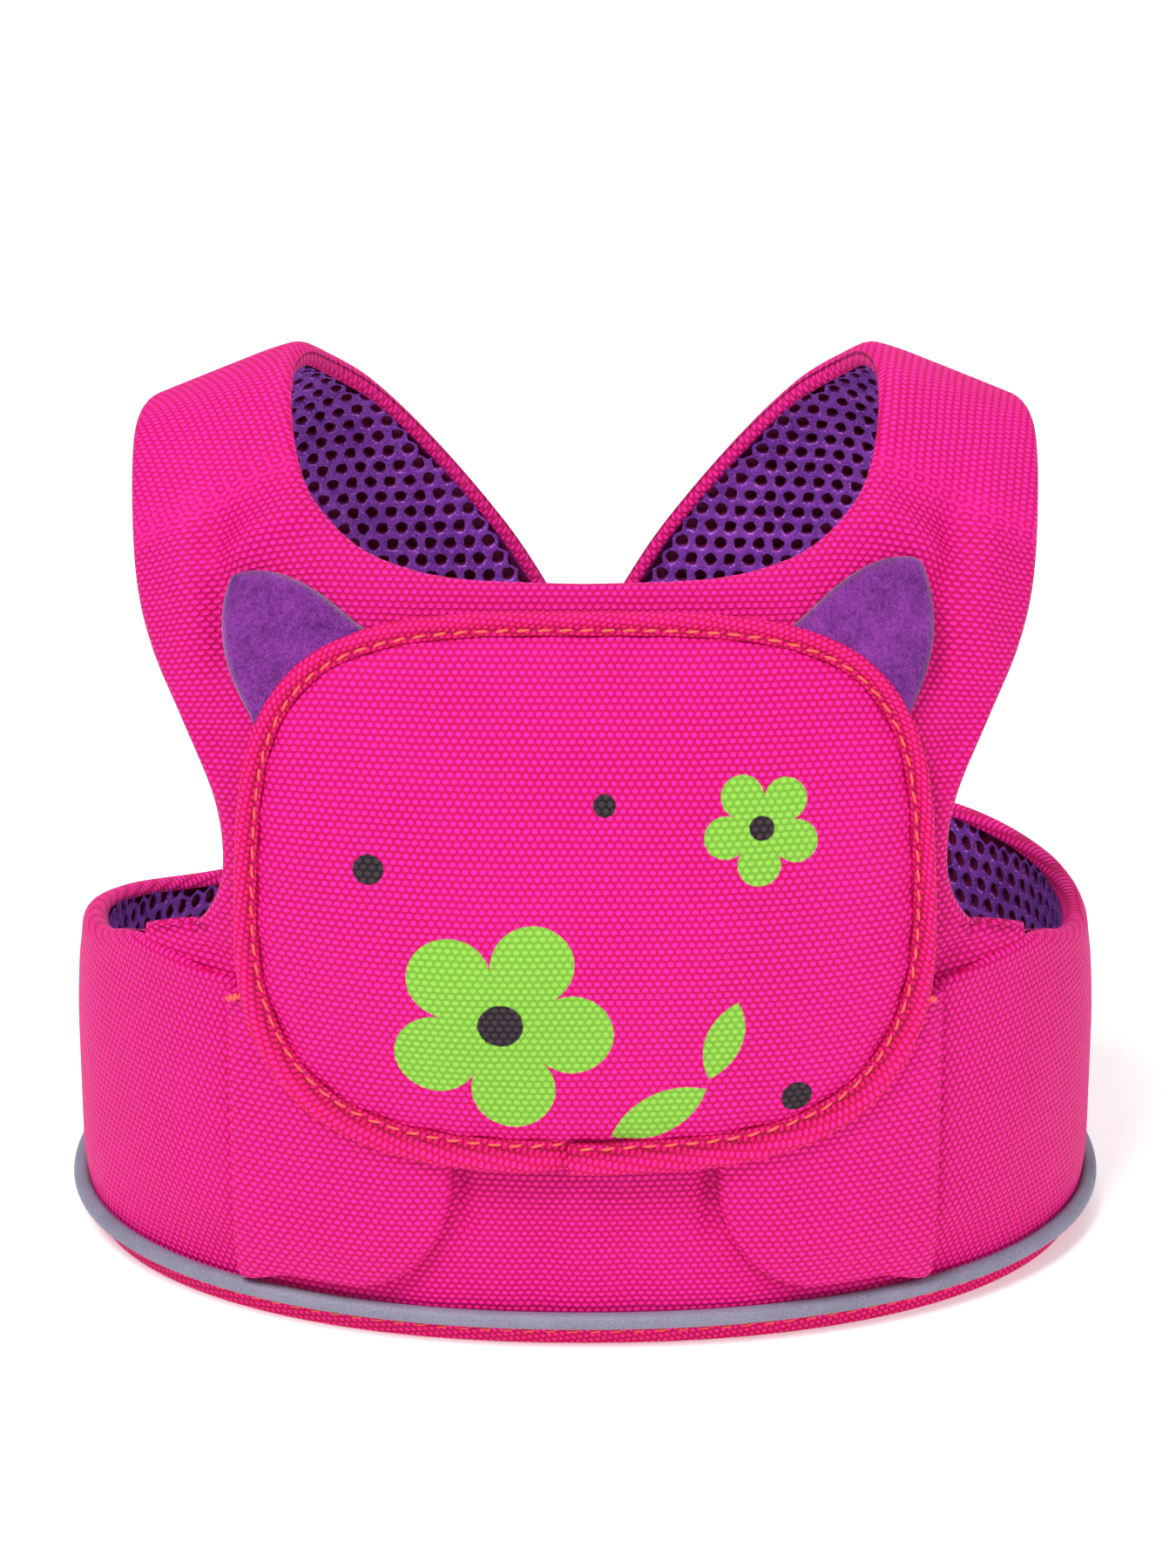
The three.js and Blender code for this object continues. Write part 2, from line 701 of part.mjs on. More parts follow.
// Plan points of the back fastening, at the middle of the belt's padding.
const beltMiddleAt = (x) => {
  const point = onBelt(angleAtX(x, webbingHeight, true), webbingHeight, beltMiddleOffset);
  return new THREE.Vector2(point.x, point.y);
};
const wingEndClearance = 2 * pieceGap;
const rightWebbingStart = beltMiddleAt(-rightWingEnd + wingEndClearance);
const leftWebbingStart = beltMiddleAt(leftWingEnd - wingEndClearance);
const claspStart = beltMiddleAt(leftWingEnd - claspLength - 2 * claspEndGap);
const claspFinish = beltMiddleAt(leftWingEnd - wingEndClearance - claspEndGap);
const claspDirection = claspFinish.clone().sub(claspStart).normalize();
const claspTurn = Math.atan2(claspDirection.y, claspDirection.x);
const barCentre = claspLength / 2 - claspBar / 2;
// The loop clears the corners of the square bar.
const webbingLoop = Math.hypot(claspBar, claspBar) / 2 + 1.5 * pieceGap + webbingWall / 2;
// The clasp stands outwards of the webbing, so that the webbing's long run stays straight.
const claspCentre = claspStart.clone().lerp(claspFinish, 0.5);
claspCentre.x -= claspDirection.y * webbingLoop;
claspCentre.y += claspDirection.x * webbingLoop;

// Clasp frame coordinates (along, across) to plan coordinates.
const fromClasp = (along, across) => [
  claspCentre.x + claspDirection.x * along - claspDirection.y * across,
  claspCentre.y + claspDirection.y * along + claspDirection.x * across,
];

// Belt webbing from a wing's end, round the clasp's end bar and back on itself.
function beltWebbing(side, from) {
  const steps = 6;
  const turn = Array.from({ length: steps + 1 }, (_, i) => {
    const angle = (i / steps) * Math.PI - Math.PI / 2;
    return fromClasp(
      side * (barCentre - webbingLoop * Math.cos(angle)),
      webbingLoop * Math.sin(angle),
    );
  });
  const tail = fromClasp(side * (claspLength / 2 + pieceGap), webbingLoop);
  const geometry = ribbon([from, ...turn, tail], webbingWall, webbingWidth);
  geometry.translate(0, 0, webbingHeight - webbingWidth / 2);
  return geometry;
}

// The outline of a box with its corners cut, centred on (x, 0).
function cutCorners(x, width, height, cut) {
  const w = width / 2;
  const h = height / 2;
  return [
    [-w + cut, -h], [w - cut, -h], [w, -h + cut], [w, h - cut],
    [w - cut, h], [-w + cut, h], [-w, h - cut], [-w, -h + cut],
  ].map(([across, up]) => new THREE.Vector2(x + across, up));
}

function clasp() {
  const shape = new THREE.Shape(cutCorners(0, claspLength, claspHeight, claspCorner));
  const slotCentre = claspLength / 2 - claspBar - claspSlot / 2;
  for (const side of [-1, 1]) {
    const slotHeight = webbingWidth + 2 * webbingWall;
    const slot = cutCorners(side * slotCentre, claspSlot, slotHeight, claspSlot / 4);
    shape.holes.push(new THREE.Path(slot));
  }
  const geometry = new THREE.ExtrudeGeometry(shape, { depth: claspBar, bevelEnabled: false });
  geometry.translate(0, 0, -claspBar / 2);
  return geometry;
}

// Yoke webbing down behind the belt webbing, round under it and up in front, as a loop.
function yokeWebbing() {
  const yoke = onSheet(new THREE.Vector2(0, yokeBottomRun), beltMiddleOffset);
  const barStart = fromClasp(-barCentre, -webbingLoop);
  const toMiddle = rightWebbingStart.x / (rightWebbingStart.x - barStart[0]);
  const middle = mix(rightWebbingStart.y, barStart[1], toMiddle);
  const legOffset = webbingWall + loopClearance;
  const bottom = webbingHeight - webbingWidth / 2 - loopClearance;
  const steps = 6;
  const turn = Array.from({ length: steps + 1 }, (_, i) => {
    const angle = (i / steps) * Math.PI;
    return [middle + legOffset * Math.cos(angle), bottom - legOffset * Math.sin(angle)];
  });
  const top = webbingHeight + webbingWidth / 2 + loopRise;
  const path = [
    [yoke.y, yoke.z - pieceGap],
    [middle + legOffset, top],
    ...turn,
    [middle - legOffset, top - loopRise / 2],
  ];
  const geometry = ribbon(path, webbingWall, webbingWidth);
  geometry.translate(0, 0, -yokeStrapHalfWidth);
  // The drawing plane is depth by height, and its thickness runs along x.
  geometry.applyMatrix4(
    new THREE.Matrix4().makeBasis(
      new THREE.Vector3(0, 1, 0),
      new THREE.Vector3(0, 0, 1),
      new THREE.Vector3(1, 0, 0),
    ),
  );
  return geometry;
}

const finish = (color, roughness) =>
  new THREE.MeshStandardMaterial({ color, roughness, metalness: 0 });
const pinkWeave = finish('#f0148a', 0.75);
const pinkTape = finish('#e01078', 0.7);
const purpleMesh = finish('#4b1b8c', 0.85);
const purpleFacing = finish('#52208f', 0.7);
const purplePlush = finish('#7a3fb4', 0.95);
const purpleWebbing = finish('#5a2a9e', 0.7);
const greyReflective = finish('#8f8f9f', 0.45);
const purplePlastic = finish('#3c1c70', 0.4);

const harness = new THREE.Group();
const addPiece = (name, geometry, material) => {
  const piece = new THREE.Mesh(geometry, material);
  piece.name = name;
  harness.add(piece);
  return piece;
};

const liningGap = 0.9;
const liningLift = -(fabricWall + liningGap);
const shellGrid = { columns: 8, strapColumns: 4, rows: 16, seamRows: 5, tipRows: 3, strapRows: 23 };
const liningGrid = { columns: 7, strapColumns: 3, rows: 14, seamRows: 5, tipRows: 3, strapRows: 20 };
addPiece(
  'front_shell',
  bibAndStraps({
    inset: 0,
    bottomRun: floorToShell,
    lift: 0,
    wall: fabricWall,
    endTrim: 0,
    ...shellGrid,
  }),
  pinkWeave,
);
addPiece(
  'front_lining',
  bibAndStraps({
    inset: edgeTurn,
    bottomRun: floorToShell + edgeTurn / 2,
    lift: liningLift,
    wall: liningWall,
    endTrim: 0.01,
    ...liningGrid,
  }),
  purpleMesh,
);

const wings = [
  { name: 'right', side: -1, end: rightWingEnd, back: rightWingBack },
  { name: 'left', side: 1, end: leftWingEnd, back: leftWingBack },
];
const seamX = bibHalfWidth + pieceGap / 2;
for (const { name, side, end, back } of wings) {
  const shell = { side, end, back, inset: 0, lift: 0, wall: fabricWall, startX: seamX, lapped: true };
  addPiece('belt_wing_' + name, beltWing({ ...shell, columns: 22, rows: 5 }), pinkWeave);
  const inside = { side, back, inset: edgeTurn, lift: liningLift, wall: liningWall };
  const mesh = { ...inside, startX: seamX, end: facingStart + pieceGap };
  addPiece('belt_lining_' + name, beltWing({ ...mesh, columns: 15, rows: 4 }), purpleMesh);
  const facing = { ...inside, startX: facingStart, startBehind: true, end: end + edgeTurn };
  addPiece('belt_facing_' + name, beltWing({ ...facing, columns: 7, rows: 3 }), purpleFacing);
  addPiece('ear_' + name, ear(side), purplePlush);
  addPiece('paw_' + name, paw(side), pinkWeave);
}

addPiece('front_panel', frontPanel(), pinkWeave);
addPiece('panel_binding', panelBinding(), pinkTape);
addPiece('hem_binding', hemBinding(), pinkTape);
addPiece('reflective_piping', reflectivePiping(), greyReflective);
addPiece('back_yoke', yokePad(0, fabricWall, 0), pinkWeave);
addPiece('yoke_lining', yokePad(liningLift, liningWall, 3), purpleMesh);
addPiece('yoke_webbing', yokeWebbing(), purpleWebbing);

addPiece('belt_webbing_right', beltWebbing(-1, rightWebbingStart.toArray()), purpleWebbing);
addPiece('belt_webbing_left', beltWebbing(1, leftWebbingStart.toArray()), purpleWebbing);

const claspPiece = addPiece('clasp', clasp(), purplePlastic);
claspPiece.rotation.set(Math.PI / 2, 0, 0);
const claspGroup = new THREE.Group();
claspGroup.add(claspPiece);
claspGroup.rotation.z = claspTurn;
claspGroup.position.set(claspCentre.x, claspCentre.y, webbingHeight);
harness.add(claspGroup);

// The origin goes to the floor under the middle of the whole.
const middle = new THREE.Box3().setFromObject(harness).getCenter(new THREE.Vector3());
for (const piece of harness.children) {
  piece.position.x -= middle.x;
  piece.position.y -= middle.y;
}

export default harness;
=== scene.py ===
# %% [markdown]
# # A toddler's padded harness
# The real thing is a padded bib of coarse pink cloth whose two straps run over the shoulders to a
# yoke, with two belt wings that close behind. A rounded panel with a bound edge is sewn on its
# front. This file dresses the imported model, which stays the measure of every piece.

from functools import reduce

import bpy
import numpy as np
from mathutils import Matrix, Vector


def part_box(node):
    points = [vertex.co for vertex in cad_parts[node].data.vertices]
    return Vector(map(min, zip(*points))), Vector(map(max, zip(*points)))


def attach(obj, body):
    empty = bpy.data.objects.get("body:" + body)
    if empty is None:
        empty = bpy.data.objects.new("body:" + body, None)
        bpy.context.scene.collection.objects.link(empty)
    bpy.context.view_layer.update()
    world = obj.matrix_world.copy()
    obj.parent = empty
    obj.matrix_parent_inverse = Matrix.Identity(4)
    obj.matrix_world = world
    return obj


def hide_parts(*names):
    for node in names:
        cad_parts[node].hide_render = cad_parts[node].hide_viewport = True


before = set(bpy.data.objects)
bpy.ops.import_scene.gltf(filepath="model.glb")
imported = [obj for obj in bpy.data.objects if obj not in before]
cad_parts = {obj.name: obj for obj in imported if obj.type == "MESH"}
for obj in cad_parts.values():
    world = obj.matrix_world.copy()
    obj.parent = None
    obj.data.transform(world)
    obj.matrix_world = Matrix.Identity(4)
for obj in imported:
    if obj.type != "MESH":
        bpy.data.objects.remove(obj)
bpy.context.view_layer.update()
print("packed nodes", len(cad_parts))

# %% [markdown]
# ## The form that all the cloth lies on
# Every piece of cloth is a layer on one shape: a centre line from the floor in front, over the
# shoulders and down behind, carried sideways by a plan that is a superellipse at each height. The
# same formulas, in millimetres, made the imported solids, so each layer lands on its solid. A mesh
# could also be shrinkwrapped on the solids, but a formula keeps the cloth smooth.


# %% Curves and steps
def smooth(start, end, value):
    """Rises from 0 at start to 1 at end, as three squares less two cubes of the share."""
    share = np.clip((value - start) / (end - start), 0, 1)
    return share * share * (3 - 2 * share)


def mix(a, b, share):
    """The value a share of the way from a to b."""
    return a + (b - a) * share


def spline(rows, steps=24):
    """The smooth curve through the rows, whose slope is half the step between a row's neighbours."""
    rows = np.asarray(rows, float)
    before = np.vstack([rows[:1], rows[:-1]])
    after = np.vstack([rows[1:], rows[-1:]])
    slope = (after - before) / 2
    t = (np.arange(steps) / steps)[None, :, None]
    a, b = rows[:-1, None], rows[1:, None]
    c, d = slope[:-1, None], slope[1:, None]
    curve = a + c * t + (3 * (b - a) - 2 * c - d) * t**2 + (2 * (a - b) + c + d) * t**3
    return np.vstack([curve.reshape(-1, rows.shape[1]), rows[-1:]])


def lengths_along(points):
    """The length of a polyline from its first point to each of its points."""
    steps = np.linalg.norm(np.diff(points, axis=0), axis=1)
    return np.concatenate([[0], np.cumsum(steps)])


# %% The centre line
BELT_WIDTH, BELT_DEPTH, CREST = 113, 75, 203
centre_rows = [
    # depth, height, as shares of BELT_DEPTH and CREST
    (-0.965, 0), (-0.98, 0.04), (-1, 0.15), (-0.993, 0.305), (-0.94, 0.468),
    (-0.84, 0.64), (-0.68, 0.788), (-0.44, 0.916), (-0.2, 0.983), (0, 1),
    (0.2, 0.981), (0.44, 0.906), (0.64, 0.773), (0.773, 0.626), (0.867, 0.468),
    (0.933, 0.305), (0.973, 0.15), (0.97, 0.04), (0.955, 0),
]
centre_line = spline(centre_rows) * (BELT_DEPTH, CREST)
runs = lengths_along(centre_line)
crest = 24 * [height for _, height in centre_rows].index(1)
crest_run, full_run = runs[crest], runs[-1]
front_half, back_half = centre_line[: crest + 1], centre_line[: crest - 1 : -1]
print("run to the crest and in all, mm", round(crest_run, 1), round(full_run, 1))


def run_at_height(height):
    """The run in front at a height of the centre line."""
    return np.interp(height, front_half[:, 1], runs[: crest + 1])


# %% The torso, the sheet over the shoulders, and the belt
def half_width(height):
    """Half the form's width: a little less at the hem and above the belt."""
    pinch = 1.5 * (1 - smooth(0, 18, height))
    return BELT_WIDTH - pinch - 2 * smooth(44.7, 85.2, height)


def plan_power(height):
    """The superellipse's power, rounder at the belt than at the chest."""
    return mix(2.15, 2.8, smooth(0.345 * CREST, 0.74 * CREST, height))


def torso(x, depth, height):
    """Depth is scaled by (1 - |x / half width| ^ power) ^ (1 / power), and the shoulders slope."""
    power = plan_power(height)
    reach = np.minimum(np.abs(x) / half_width(height), 1)
    fullness = (1 - reach**power) ** (1 / power)
    beyond = np.maximum(np.abs(x) - 50, 0)
    eased = np.where(beyond < 20, beyond**2 / 40, beyond - 10)
    drop = 0.4 * eased * smooth(0.47 * CREST, 0.96 * CREST, height)
    return np.stack(np.broadcast_arrays(x, depth * fullness, height - drop), -1)


def sheet(x, run):
    """The form by x and the run along the centre line."""
    depth = np.interp(run, runs, centre_line[:, 0])
    return torso(x, depth, np.interp(run, runs, centre_line[:, 1]))


def belt(angle, height):
    """The form by the angle from the front, in degrees, positive towards the wearer's left."""
    sine = np.sin(np.radians(angle))
    x = np.sign(sine) * np.abs(sine) ** (2 / plan_power(height)) * half_width(height)
    front = np.interp(height, front_half[:, 1], front_half[:, 0])
    behind = np.interp(height, back_half[:, 1], back_half[:, 0])
    depth = np.where(np.cos(np.radians(angle)) >= 0, front, behind)
    return torso(x, depth, height)


def angle_at(x, height, behind):
    """The belt's angle at a given x, in front or behind."""
    sine = np.minimum(np.abs(x) / half_width(height), 1) ** (plan_power(height) / 2)
    angle = np.degrees(np.arcsin(sine))
    return np.where(x < 0, -1, 1) * (180 - angle if behind else angle)


def lifted(surface, a, b, lift):
    """Points of a surface moved by lift along its outward normal, the cross of steps in a and b."""
    step = 0.4
    along = surface(a + step, b) - surface(a - step, b)
    across = surface(a, b + step) - surface(a, b - step)
    normal = np.cross(along, across)
    normal /= np.linalg.norm(normal, axis=-1, keepdims=True)
    return surface(a, b) + normal * np.asarray(lift)[..., None]


# %% [markdown]
# ## Meshes from grids
# Each piece is one or more grids of points. A grid's rows and columns become quads, and grids that
# share points are welded. The texture coordinate of each point is its place on the cloth in
# millimetres, so that one weave keeps its thread size on every piece.

# %% Grid to mesh
PLACE = np.array([
    500 * (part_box("front_shell")[0].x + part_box("front_shell")[1].x),
    1000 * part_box("front_shell")[0].y + BELT_DEPTH,
    0,
])
print("the packed origin from the form's, mm", PLACE.round(2))


def pair(x, y):
    """Two coordinates, each a number or an array, as points."""
    return np.stack(np.broadcast_arrays(x, y), -1)


def quads_of(rows, columns):
    """The corners of a grid's quads, as indices of its points."""
    index = np.arange(rows * columns).reshape(rows, columns)
    corners = [index[:-1, :-1], index[:-1, 1:], index[1:, 1:], index[1:, :-1]]
    return np.stack(corners, -1).reshape(-1, 4)


def placed(name, data, at=(0, 0, 0), turn=(0, 0, 0)):
    """A new object in the scene."""
    made = bpy.data.objects.new(name, data)
    made.location, made.rotation_euler = at, turn
    bpy.context.scene.collection.objects.link(made)
    return made


class Cloth:
    """Collects grids in millimetres and makes them one mesh in metres."""

    # each side of a grid: its points, and whether a wall there turns over
    sides = {
        "foot": (np.s_[0], True),
        "top": (np.s_[-1], False),
        "start": (np.s_[:, 0], False),
        "end": (np.s_[:, -1], True),
    }

    def __init__(self):
        self.points, self.faces, self.places, self.marks, self.count = [], [], [], [], 0

    def add(self, points, corners, place, mark=0.0):
        """Points, quads of their indices, and for each point its place on the cloth and a mark."""
        self.points.append(points.reshape(-1, 3))
        self.places.append(place.reshape(-1, 2)[corners])
        self.faces.append(corners + self.count)
        self.marks.append(np.broadcast_to(mark, points.shape[:-1]).reshape(-1))
        self.count += self.points[-1].shape[0]

    def grid(self, points, place, flip=False, mark=0.0):
        """A grid of rows by columns. Its faces look along column step cross row step."""
        quads = quads_of(*points.shape[:2])
        self.add(points, quads[:, ::-1] if flip else quads, place, mark)

    def copies(self, points, place, mark=0.0):
        """Many small grids of one size, counted by the first axis."""
        count, rows, columns = points.shape[:3]
        first = np.arange(count)[:, None, None] * rows * columns
        self.add(points, (quads_of(rows, columns) + first).reshape(-1, 4), place, mark)

    def wall(self, outer, inner, place, flip=False):
        """Closes the gap between two skins along a line of each."""
        self.grid(np.stack([outer, inner]), np.stack([place, place]), flip)

    def skins(self, outer, inner, place, flip=False, walls="", mark=0.0):
        """Two skins back to back, with walls between them on the named sides of the grid."""
        self.grid(outer, place, flip, mark)
        self.grid(inner, place, not flip, mark)
        for side in walls.split():
            line, over = self.sides[side]
            self.wall(outer[line], inner[line], place[line], flip != over)

    def piece(self, name, look, slot, replaces=(), weld=0.02, fill=None):
        """The finished object, welded and smooth, riding on the root body."""
        points, faces = np.vstack(self.points), np.vstack(self.faces)
        places, marks = np.vstack(self.places).reshape(-1, 4, 2), np.concatenate(self.marks)
        cells = np.round(points / weld).astype(np.int64)
        _, first, same = np.unique(cells, axis=0, return_index=True, return_inverse=True)
        points, marks, faces = points[first], marks[first], same.reshape(-1)[faces]
        repeats = faces == np.roll(faces, 1, axis=1)
        crossed = (faces[:, :2] == faces[:, 2:]).any(1)
        sizes = 4 - repeats.sum(1)
        kept = (sizes > 2) & ~crossed
        used, sizes = kept[:, None] & ~repeats, sizes[kept]
        mesh = bpy.data.meshes.new(name)
        mesh.vertices.add(len(points))
        mesh.vertices.foreach_set("co", ((points + PLACE) * 0.001).astype(np.float32).ravel())
        mesh.loops.add(int(sizes.sum()))
        mesh.loops.foreach_set("vertex_index", faces[used].astype(np.int32))
        mesh.polygons.add(len(sizes))
        mesh.polygons.foreach_set("loop_start", (np.cumsum(sizes) - sizes).astype(np.int32))
        layer = mesh.uv_layers.new(name="cloth")
        layer.data.foreach_set("uv", places[used].astype(np.float32).ravel())
        attribute = mesh.attributes.new("mark", "FLOAT", "POINT")
        attribute.data.foreach_set("value", marks.astype(np.float32))
        mesh.update(calc_edges=True)
        mesh.validate()
        mesh.shade_smooth()
        mesh.materials.append(look)
        made = placed(name, mesh)
        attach(made, "root")
        if replaces:
            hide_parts(*replaces)
        print(name, "triangles", int((sizes - 2).sum()))


# %% [markdown]
# ## Finishes
# A finish is a small network of nodes. Written as wires it is hard to read, so one class wraps a
# socket and lets the maths be written as Python: `u / 2 + 1` adds a divide and an add node. Colours
# go through Mix nodes, because a Math node would turn them grey.


# %% Sockets as numbers
class Value:
    """A shader socket that can be used in sums. Other nodes come from its method node."""

    def __init__(self, tree, socket=None):
        self.tree, self.socket = tree, socket

    def node(self, kind, settings=(), sockets=(), output=0):
        """A node of a kind, its settings first, then its sockets by name or number."""
        made = self.tree.nodes.new("ShaderNode" + kind)
        for name, value in dict(settings).items():
            setattr(made, name, value)
        for name, value in dict(sockets).items():
            if isinstance(value, Value):
                self.tree.links.new(value.socket, made.inputs[name])
            else:
                made.inputs[name].default_value = value
        return Value(self.tree, made.outputs[output])

    def maths(self, operation, *values):
        """A Math node on the values in turn, self standing where it is named."""
        return self.node("Math", {"operation": operation}, enumerate(values))

    def __abs__(self):
        return self.maths("ABSOLUTE", self)

    def floor(self):
        return self.maths("FLOOR", self)

    def most(self, other):
        return self.maths("MAXIMUM", self, other)

    def ramp(self, start, end):
        """0 below start and 1 above end, smooth between."""
        sockets = {0: self, 1: start, 2: end}
        return self.node("MapRange", {"interpolation_type": "SMOOTHSTEP"}, sockets)

    def blend(self, below, above):
        """A colour from below where the value is 0 to above where it is 1."""
        sockets = {0: self, 6: linear(below), 7: linear(above)}
        return self.node("Mix", {"data_type": "RGBA", "clamp_factor": True}, sockets, output=2)


def sign_method(operation, swapped):
    """What a sign of arithmetic does to two values: it puts them through a Math node."""
    return lambda self, other: self.maths(operation, *((other, self) if swapped else (self, other)))


for sign, operation in {
    "add": "ADD", "sub": "SUBTRACT", "mul": "MULTIPLY", "truediv": "DIVIDE", "pow": "POWER",
    "mod": "FLOORED_MODULO",
}.items():
    setattr(Value, f"__{sign}__", sign_method(operation, False))
    setattr(Value, f"__r{sign}__", sign_method(operation, True))


def linear(shade):
    """A display colour, 0 to 255, as the linear colour a shader takes. A socket stays as it is."""
    if isinstance(shade, Value):
        return shade
    share = np.array(shade) / 255
    light = np.where(share < 0.04045, share / 12.92, ((share + 0.055) / 1.055) ** 2.4)
    return (*light.tolist(), 1.0)


def finish(name, paint, **fixed):
    """A material. Fixed values go straight on the shader, and paint gives what varies."""
    made = bpy.data.materials.new(name)
    made.use_nodes = True
    tree = made.node_tree
    shader = tree.nodes["Principled BSDF"]
    for socket, value in fixed.items():
        shader.inputs[socket.replace("_", " ")].default_value = value
    for socket, value in paint(Value(tree)).items():
        tree.links.new(value.socket, shader.inputs[socket])
    return made


def cloth_place(s):
    """The place on the cloth in millimetres: across and along."""
    uv = s.node("UVMap", {"uv_map": "cloth"})
    return [s.node("SeparateXYZ", (), {0: uv}, k) for k in (0, 1)]


def mark_of(s):
    """The mark that the points carry."""
    return s.node("Attribute", {"attribute_name": "mark"}, output=2)


def grain(s, size, detail=2.0, stretch=(1, 1, 1), roughness=0.6):
    """Noise of about that size in millimetres on the object's own coordinates."""
    place = s.node("TexCoord", output=3)
    scaled = s.node("VectorMath", {"operation": "MULTIPLY"}, {0: place, 1: stretch})
    sockets = {"Vector": scaled, "Scale": 1000 / size, "Detail": detail, "Roughness": roughness}
    return s.node("TexNoise", (), sockets)


def bump(s, height, depth_mm):
    """A bump whose height 1 stands depth_mm proud."""
    return s.node("Bump", (), {"Strength": 1.0, "Distance": depth_mm * 0.001, "Height": height})


# %% [markdown]
# ### The coarse pink cloth
# Up close the cloth is a tight plain weave of thick yarn. Each yarn shows as a short rounded float,
# 1.7 mm by 1.4 mm, and every other row is shifted by half a float, like bricks. The floats are
# painted lighter, as a painted highlight, and the holes between them deep red, as painted shade.
# Displacing a million faces would be the other way; a bump from the same pattern looks alike at
# this distance and bakes.


# %% Weave
def floats(s, across, along, width=1.73, rise=1.38):
    """1 on the middle of each float and 0 in the gaps round it."""
    wander = grain(s, 9, 1.0) - 0.5
    u = across / width + wander * 0.35
    v = along / rise + wander * 0.3
    odd = v.floor() % 2
    x = abs((u + odd * 0.5) % 1 - 0.5) * 2.1
    y = abs(v % 1 - 0.5) * 2.0
    return (1 - (x * x + y * y) ** 1.25).ramp(0.0, 1.0)


# painted highlight on the floats and painted shade in the gaps, the two ends of the cloth's tone
LIT_FLOAT_PINK, SHADED_GAP_PINK = (253, 36, 158), (192, 0, 88)


def pink_tone(s, height):
    """How light the cloth is: floats in painted highlight over gaps in painted shade, with slow
    patches a little lighter or darker.
    """
    return (height + (grain(s, 26, 2.0) - 0.5) * 0.3).ramp(-0.08, 0.95)


def pink_cloth(s):
    """Floats in rows, or in columns that lean with a strap where the mark is 1."""
    across, along = cloth_place(s)
    on_right = s.maths("LESS_THAN", across, 0)
    leaning = abs(across) - along * (on_right * 0.23 + 0.1)
    rows = floats(s, across, along)
    columns = floats(s, along, leaning, 1.5, 1.6) * 0.85 + 0.1
    height = rows + (columns - rows) * mark_of(s)
    normal = bump(s, height + (grain(s, 0.35, 1.0) - 0.5) * 0.2, 0.34)
    # painted highlight on the floats and painted shade in the gaps
    return {"Base Color": pink_tone(s, height).blend(SHADED_GAP_PINK, LIT_FLOAT_PINK), "Normal": normal}


pink = finish("pink_weave", pink_cloth, Roughness=0.6, Specular_IOR_Level=0.13)

# %% [markdown]
# ## The bib and its straps
# One padded piece makes the bib and both straps. Its free edges are turned: the cloth rolls over
# the foam and comes back inside for a few millimetres, where the lining starts. So it is made as
# two skins whose distance apart follows a half circle at the free edge. The front carries soft
# folds that run in from the armholes.

# %% Edges of the bib and straps
BIB_SEAM, SEAM_HEIGHT, ARMHOLE, NECK, STRAP = 73.4, 80.5, 24, 61.5, 34
neck_run = run_at_height(CREST - 36)
seam_run = run_at_height(SEAM_HEIGHT)
yoke_run = crest_run + 0.515 * (full_run - crest_run)
inner_up = [
    # x share of NECK, share of the way from the neckline to the crest
    (0, 0), (0.42, 0.015), (0.655, 0.065), (0.81, 0.15), (0.935, 0.3),
    (0.99, 0.46), (1.015, 0.64), (1.02, 0.82),
]
inner_down = [
    # x share of NECK, share of the way from the crest to the floor behind
    (1, 0.01), (0.9, 0.1), (0.745, 0.17), (0.55, 0.255), (0.37, 0.335), (0.22, 0.405),
]
outer_up = [
    # share of ARMHOLE beyond the seam, share of the way from the seam's top to the crest
    (0.96, 0.025), (0.7, 0.035), (0.46, 0.06), (0.27, 0.105), (0.17, 0.17), (0.23, 0.27),
    (0.52, 0.4), (0.79, 0.52), (0.94, 0.64), (0.99, 0.8), (0.97, 0.94),
]
outer_down = [
    # x share of the strap's outermost line, share of the way from the crest to the floor behind
    (0.985, 0.04), (0.91, 0.14), (0.79, 0.25), (0.65, 0.37), (0.5, 0.47),
]
down_run = full_run - crest_run
strap_end = (1.2 + STRAP, yoke_run + 8)


class Edge:
    """A free edge of the cloth, by the share of its length."""

    def __init__(self, rows, towards):
        self.points = spline(rows, 40)
        self.lengths = lengths_along(self.points)
        self.towards = towards

    def at(self, share, inset=0.0):
        """The point at a share of the length, moved inset into the cloth at right angles."""
        distance = np.asarray(share) * self.lengths[-1]
        step = 0.5
        point = self.read(distance)
        along = self.read(distance + step) - self.read(distance - step)
        along /= np.linalg.norm(along, axis=-1, keepdims=True)
        aside = np.stack([along[..., 1], -along[..., 0]], -1)
        return point + aside * np.asarray(inset)[..., None] * self.towards

    def read(self, distance):
        """The point at a distance along the edge."""
        columns = [np.interp(distance, self.lengths, self.points[:, k]) for k in (0, 1)]
        return np.stack(columns, -1)


inner_edge = Edge(
    [(x * NECK, mix(neck_run, crest_run, up)) for x, up in inner_up]
    + [(x * NECK, crest_run + down * down_run) for x, down in inner_down]
    + [(1.2, yoke_run)],
    1,
)
outer_edge = Edge(
    [(BIB_SEAM + out * ARMHOLE, mix(seam_run, crest_run, up)) for out, up in outer_up]
    + [(x * (NECK + STRAP), crest_run + down * down_run) for x, down in outer_down]
    + [strap_end],
    -1,
)
free_edges = [inner_edge.points, outer_edge.points]
print("inner and outer edge, mm", inner_edge.lengths[-1].round(), outer_edge.lengths[-1].round())


def distance_to(lines, x, run, every=4):
    """Least distance from polylines, of which every so many points count. x has no sign."""
    point = pair(np.abs(x), run)
    best = np.full(point.shape[:-1], np.inf)
    for line in lines:
        line = line[::every]
        for start, end in zip(line[:-1], line[1:]):
            along = end - start
            share = np.clip((point - start) @ along / (along @ along), 0, 1)
            gap = np.linalg.norm(point - start - share[..., None] * along, axis=-1)
            best = np.minimum(best, gap)
    return best



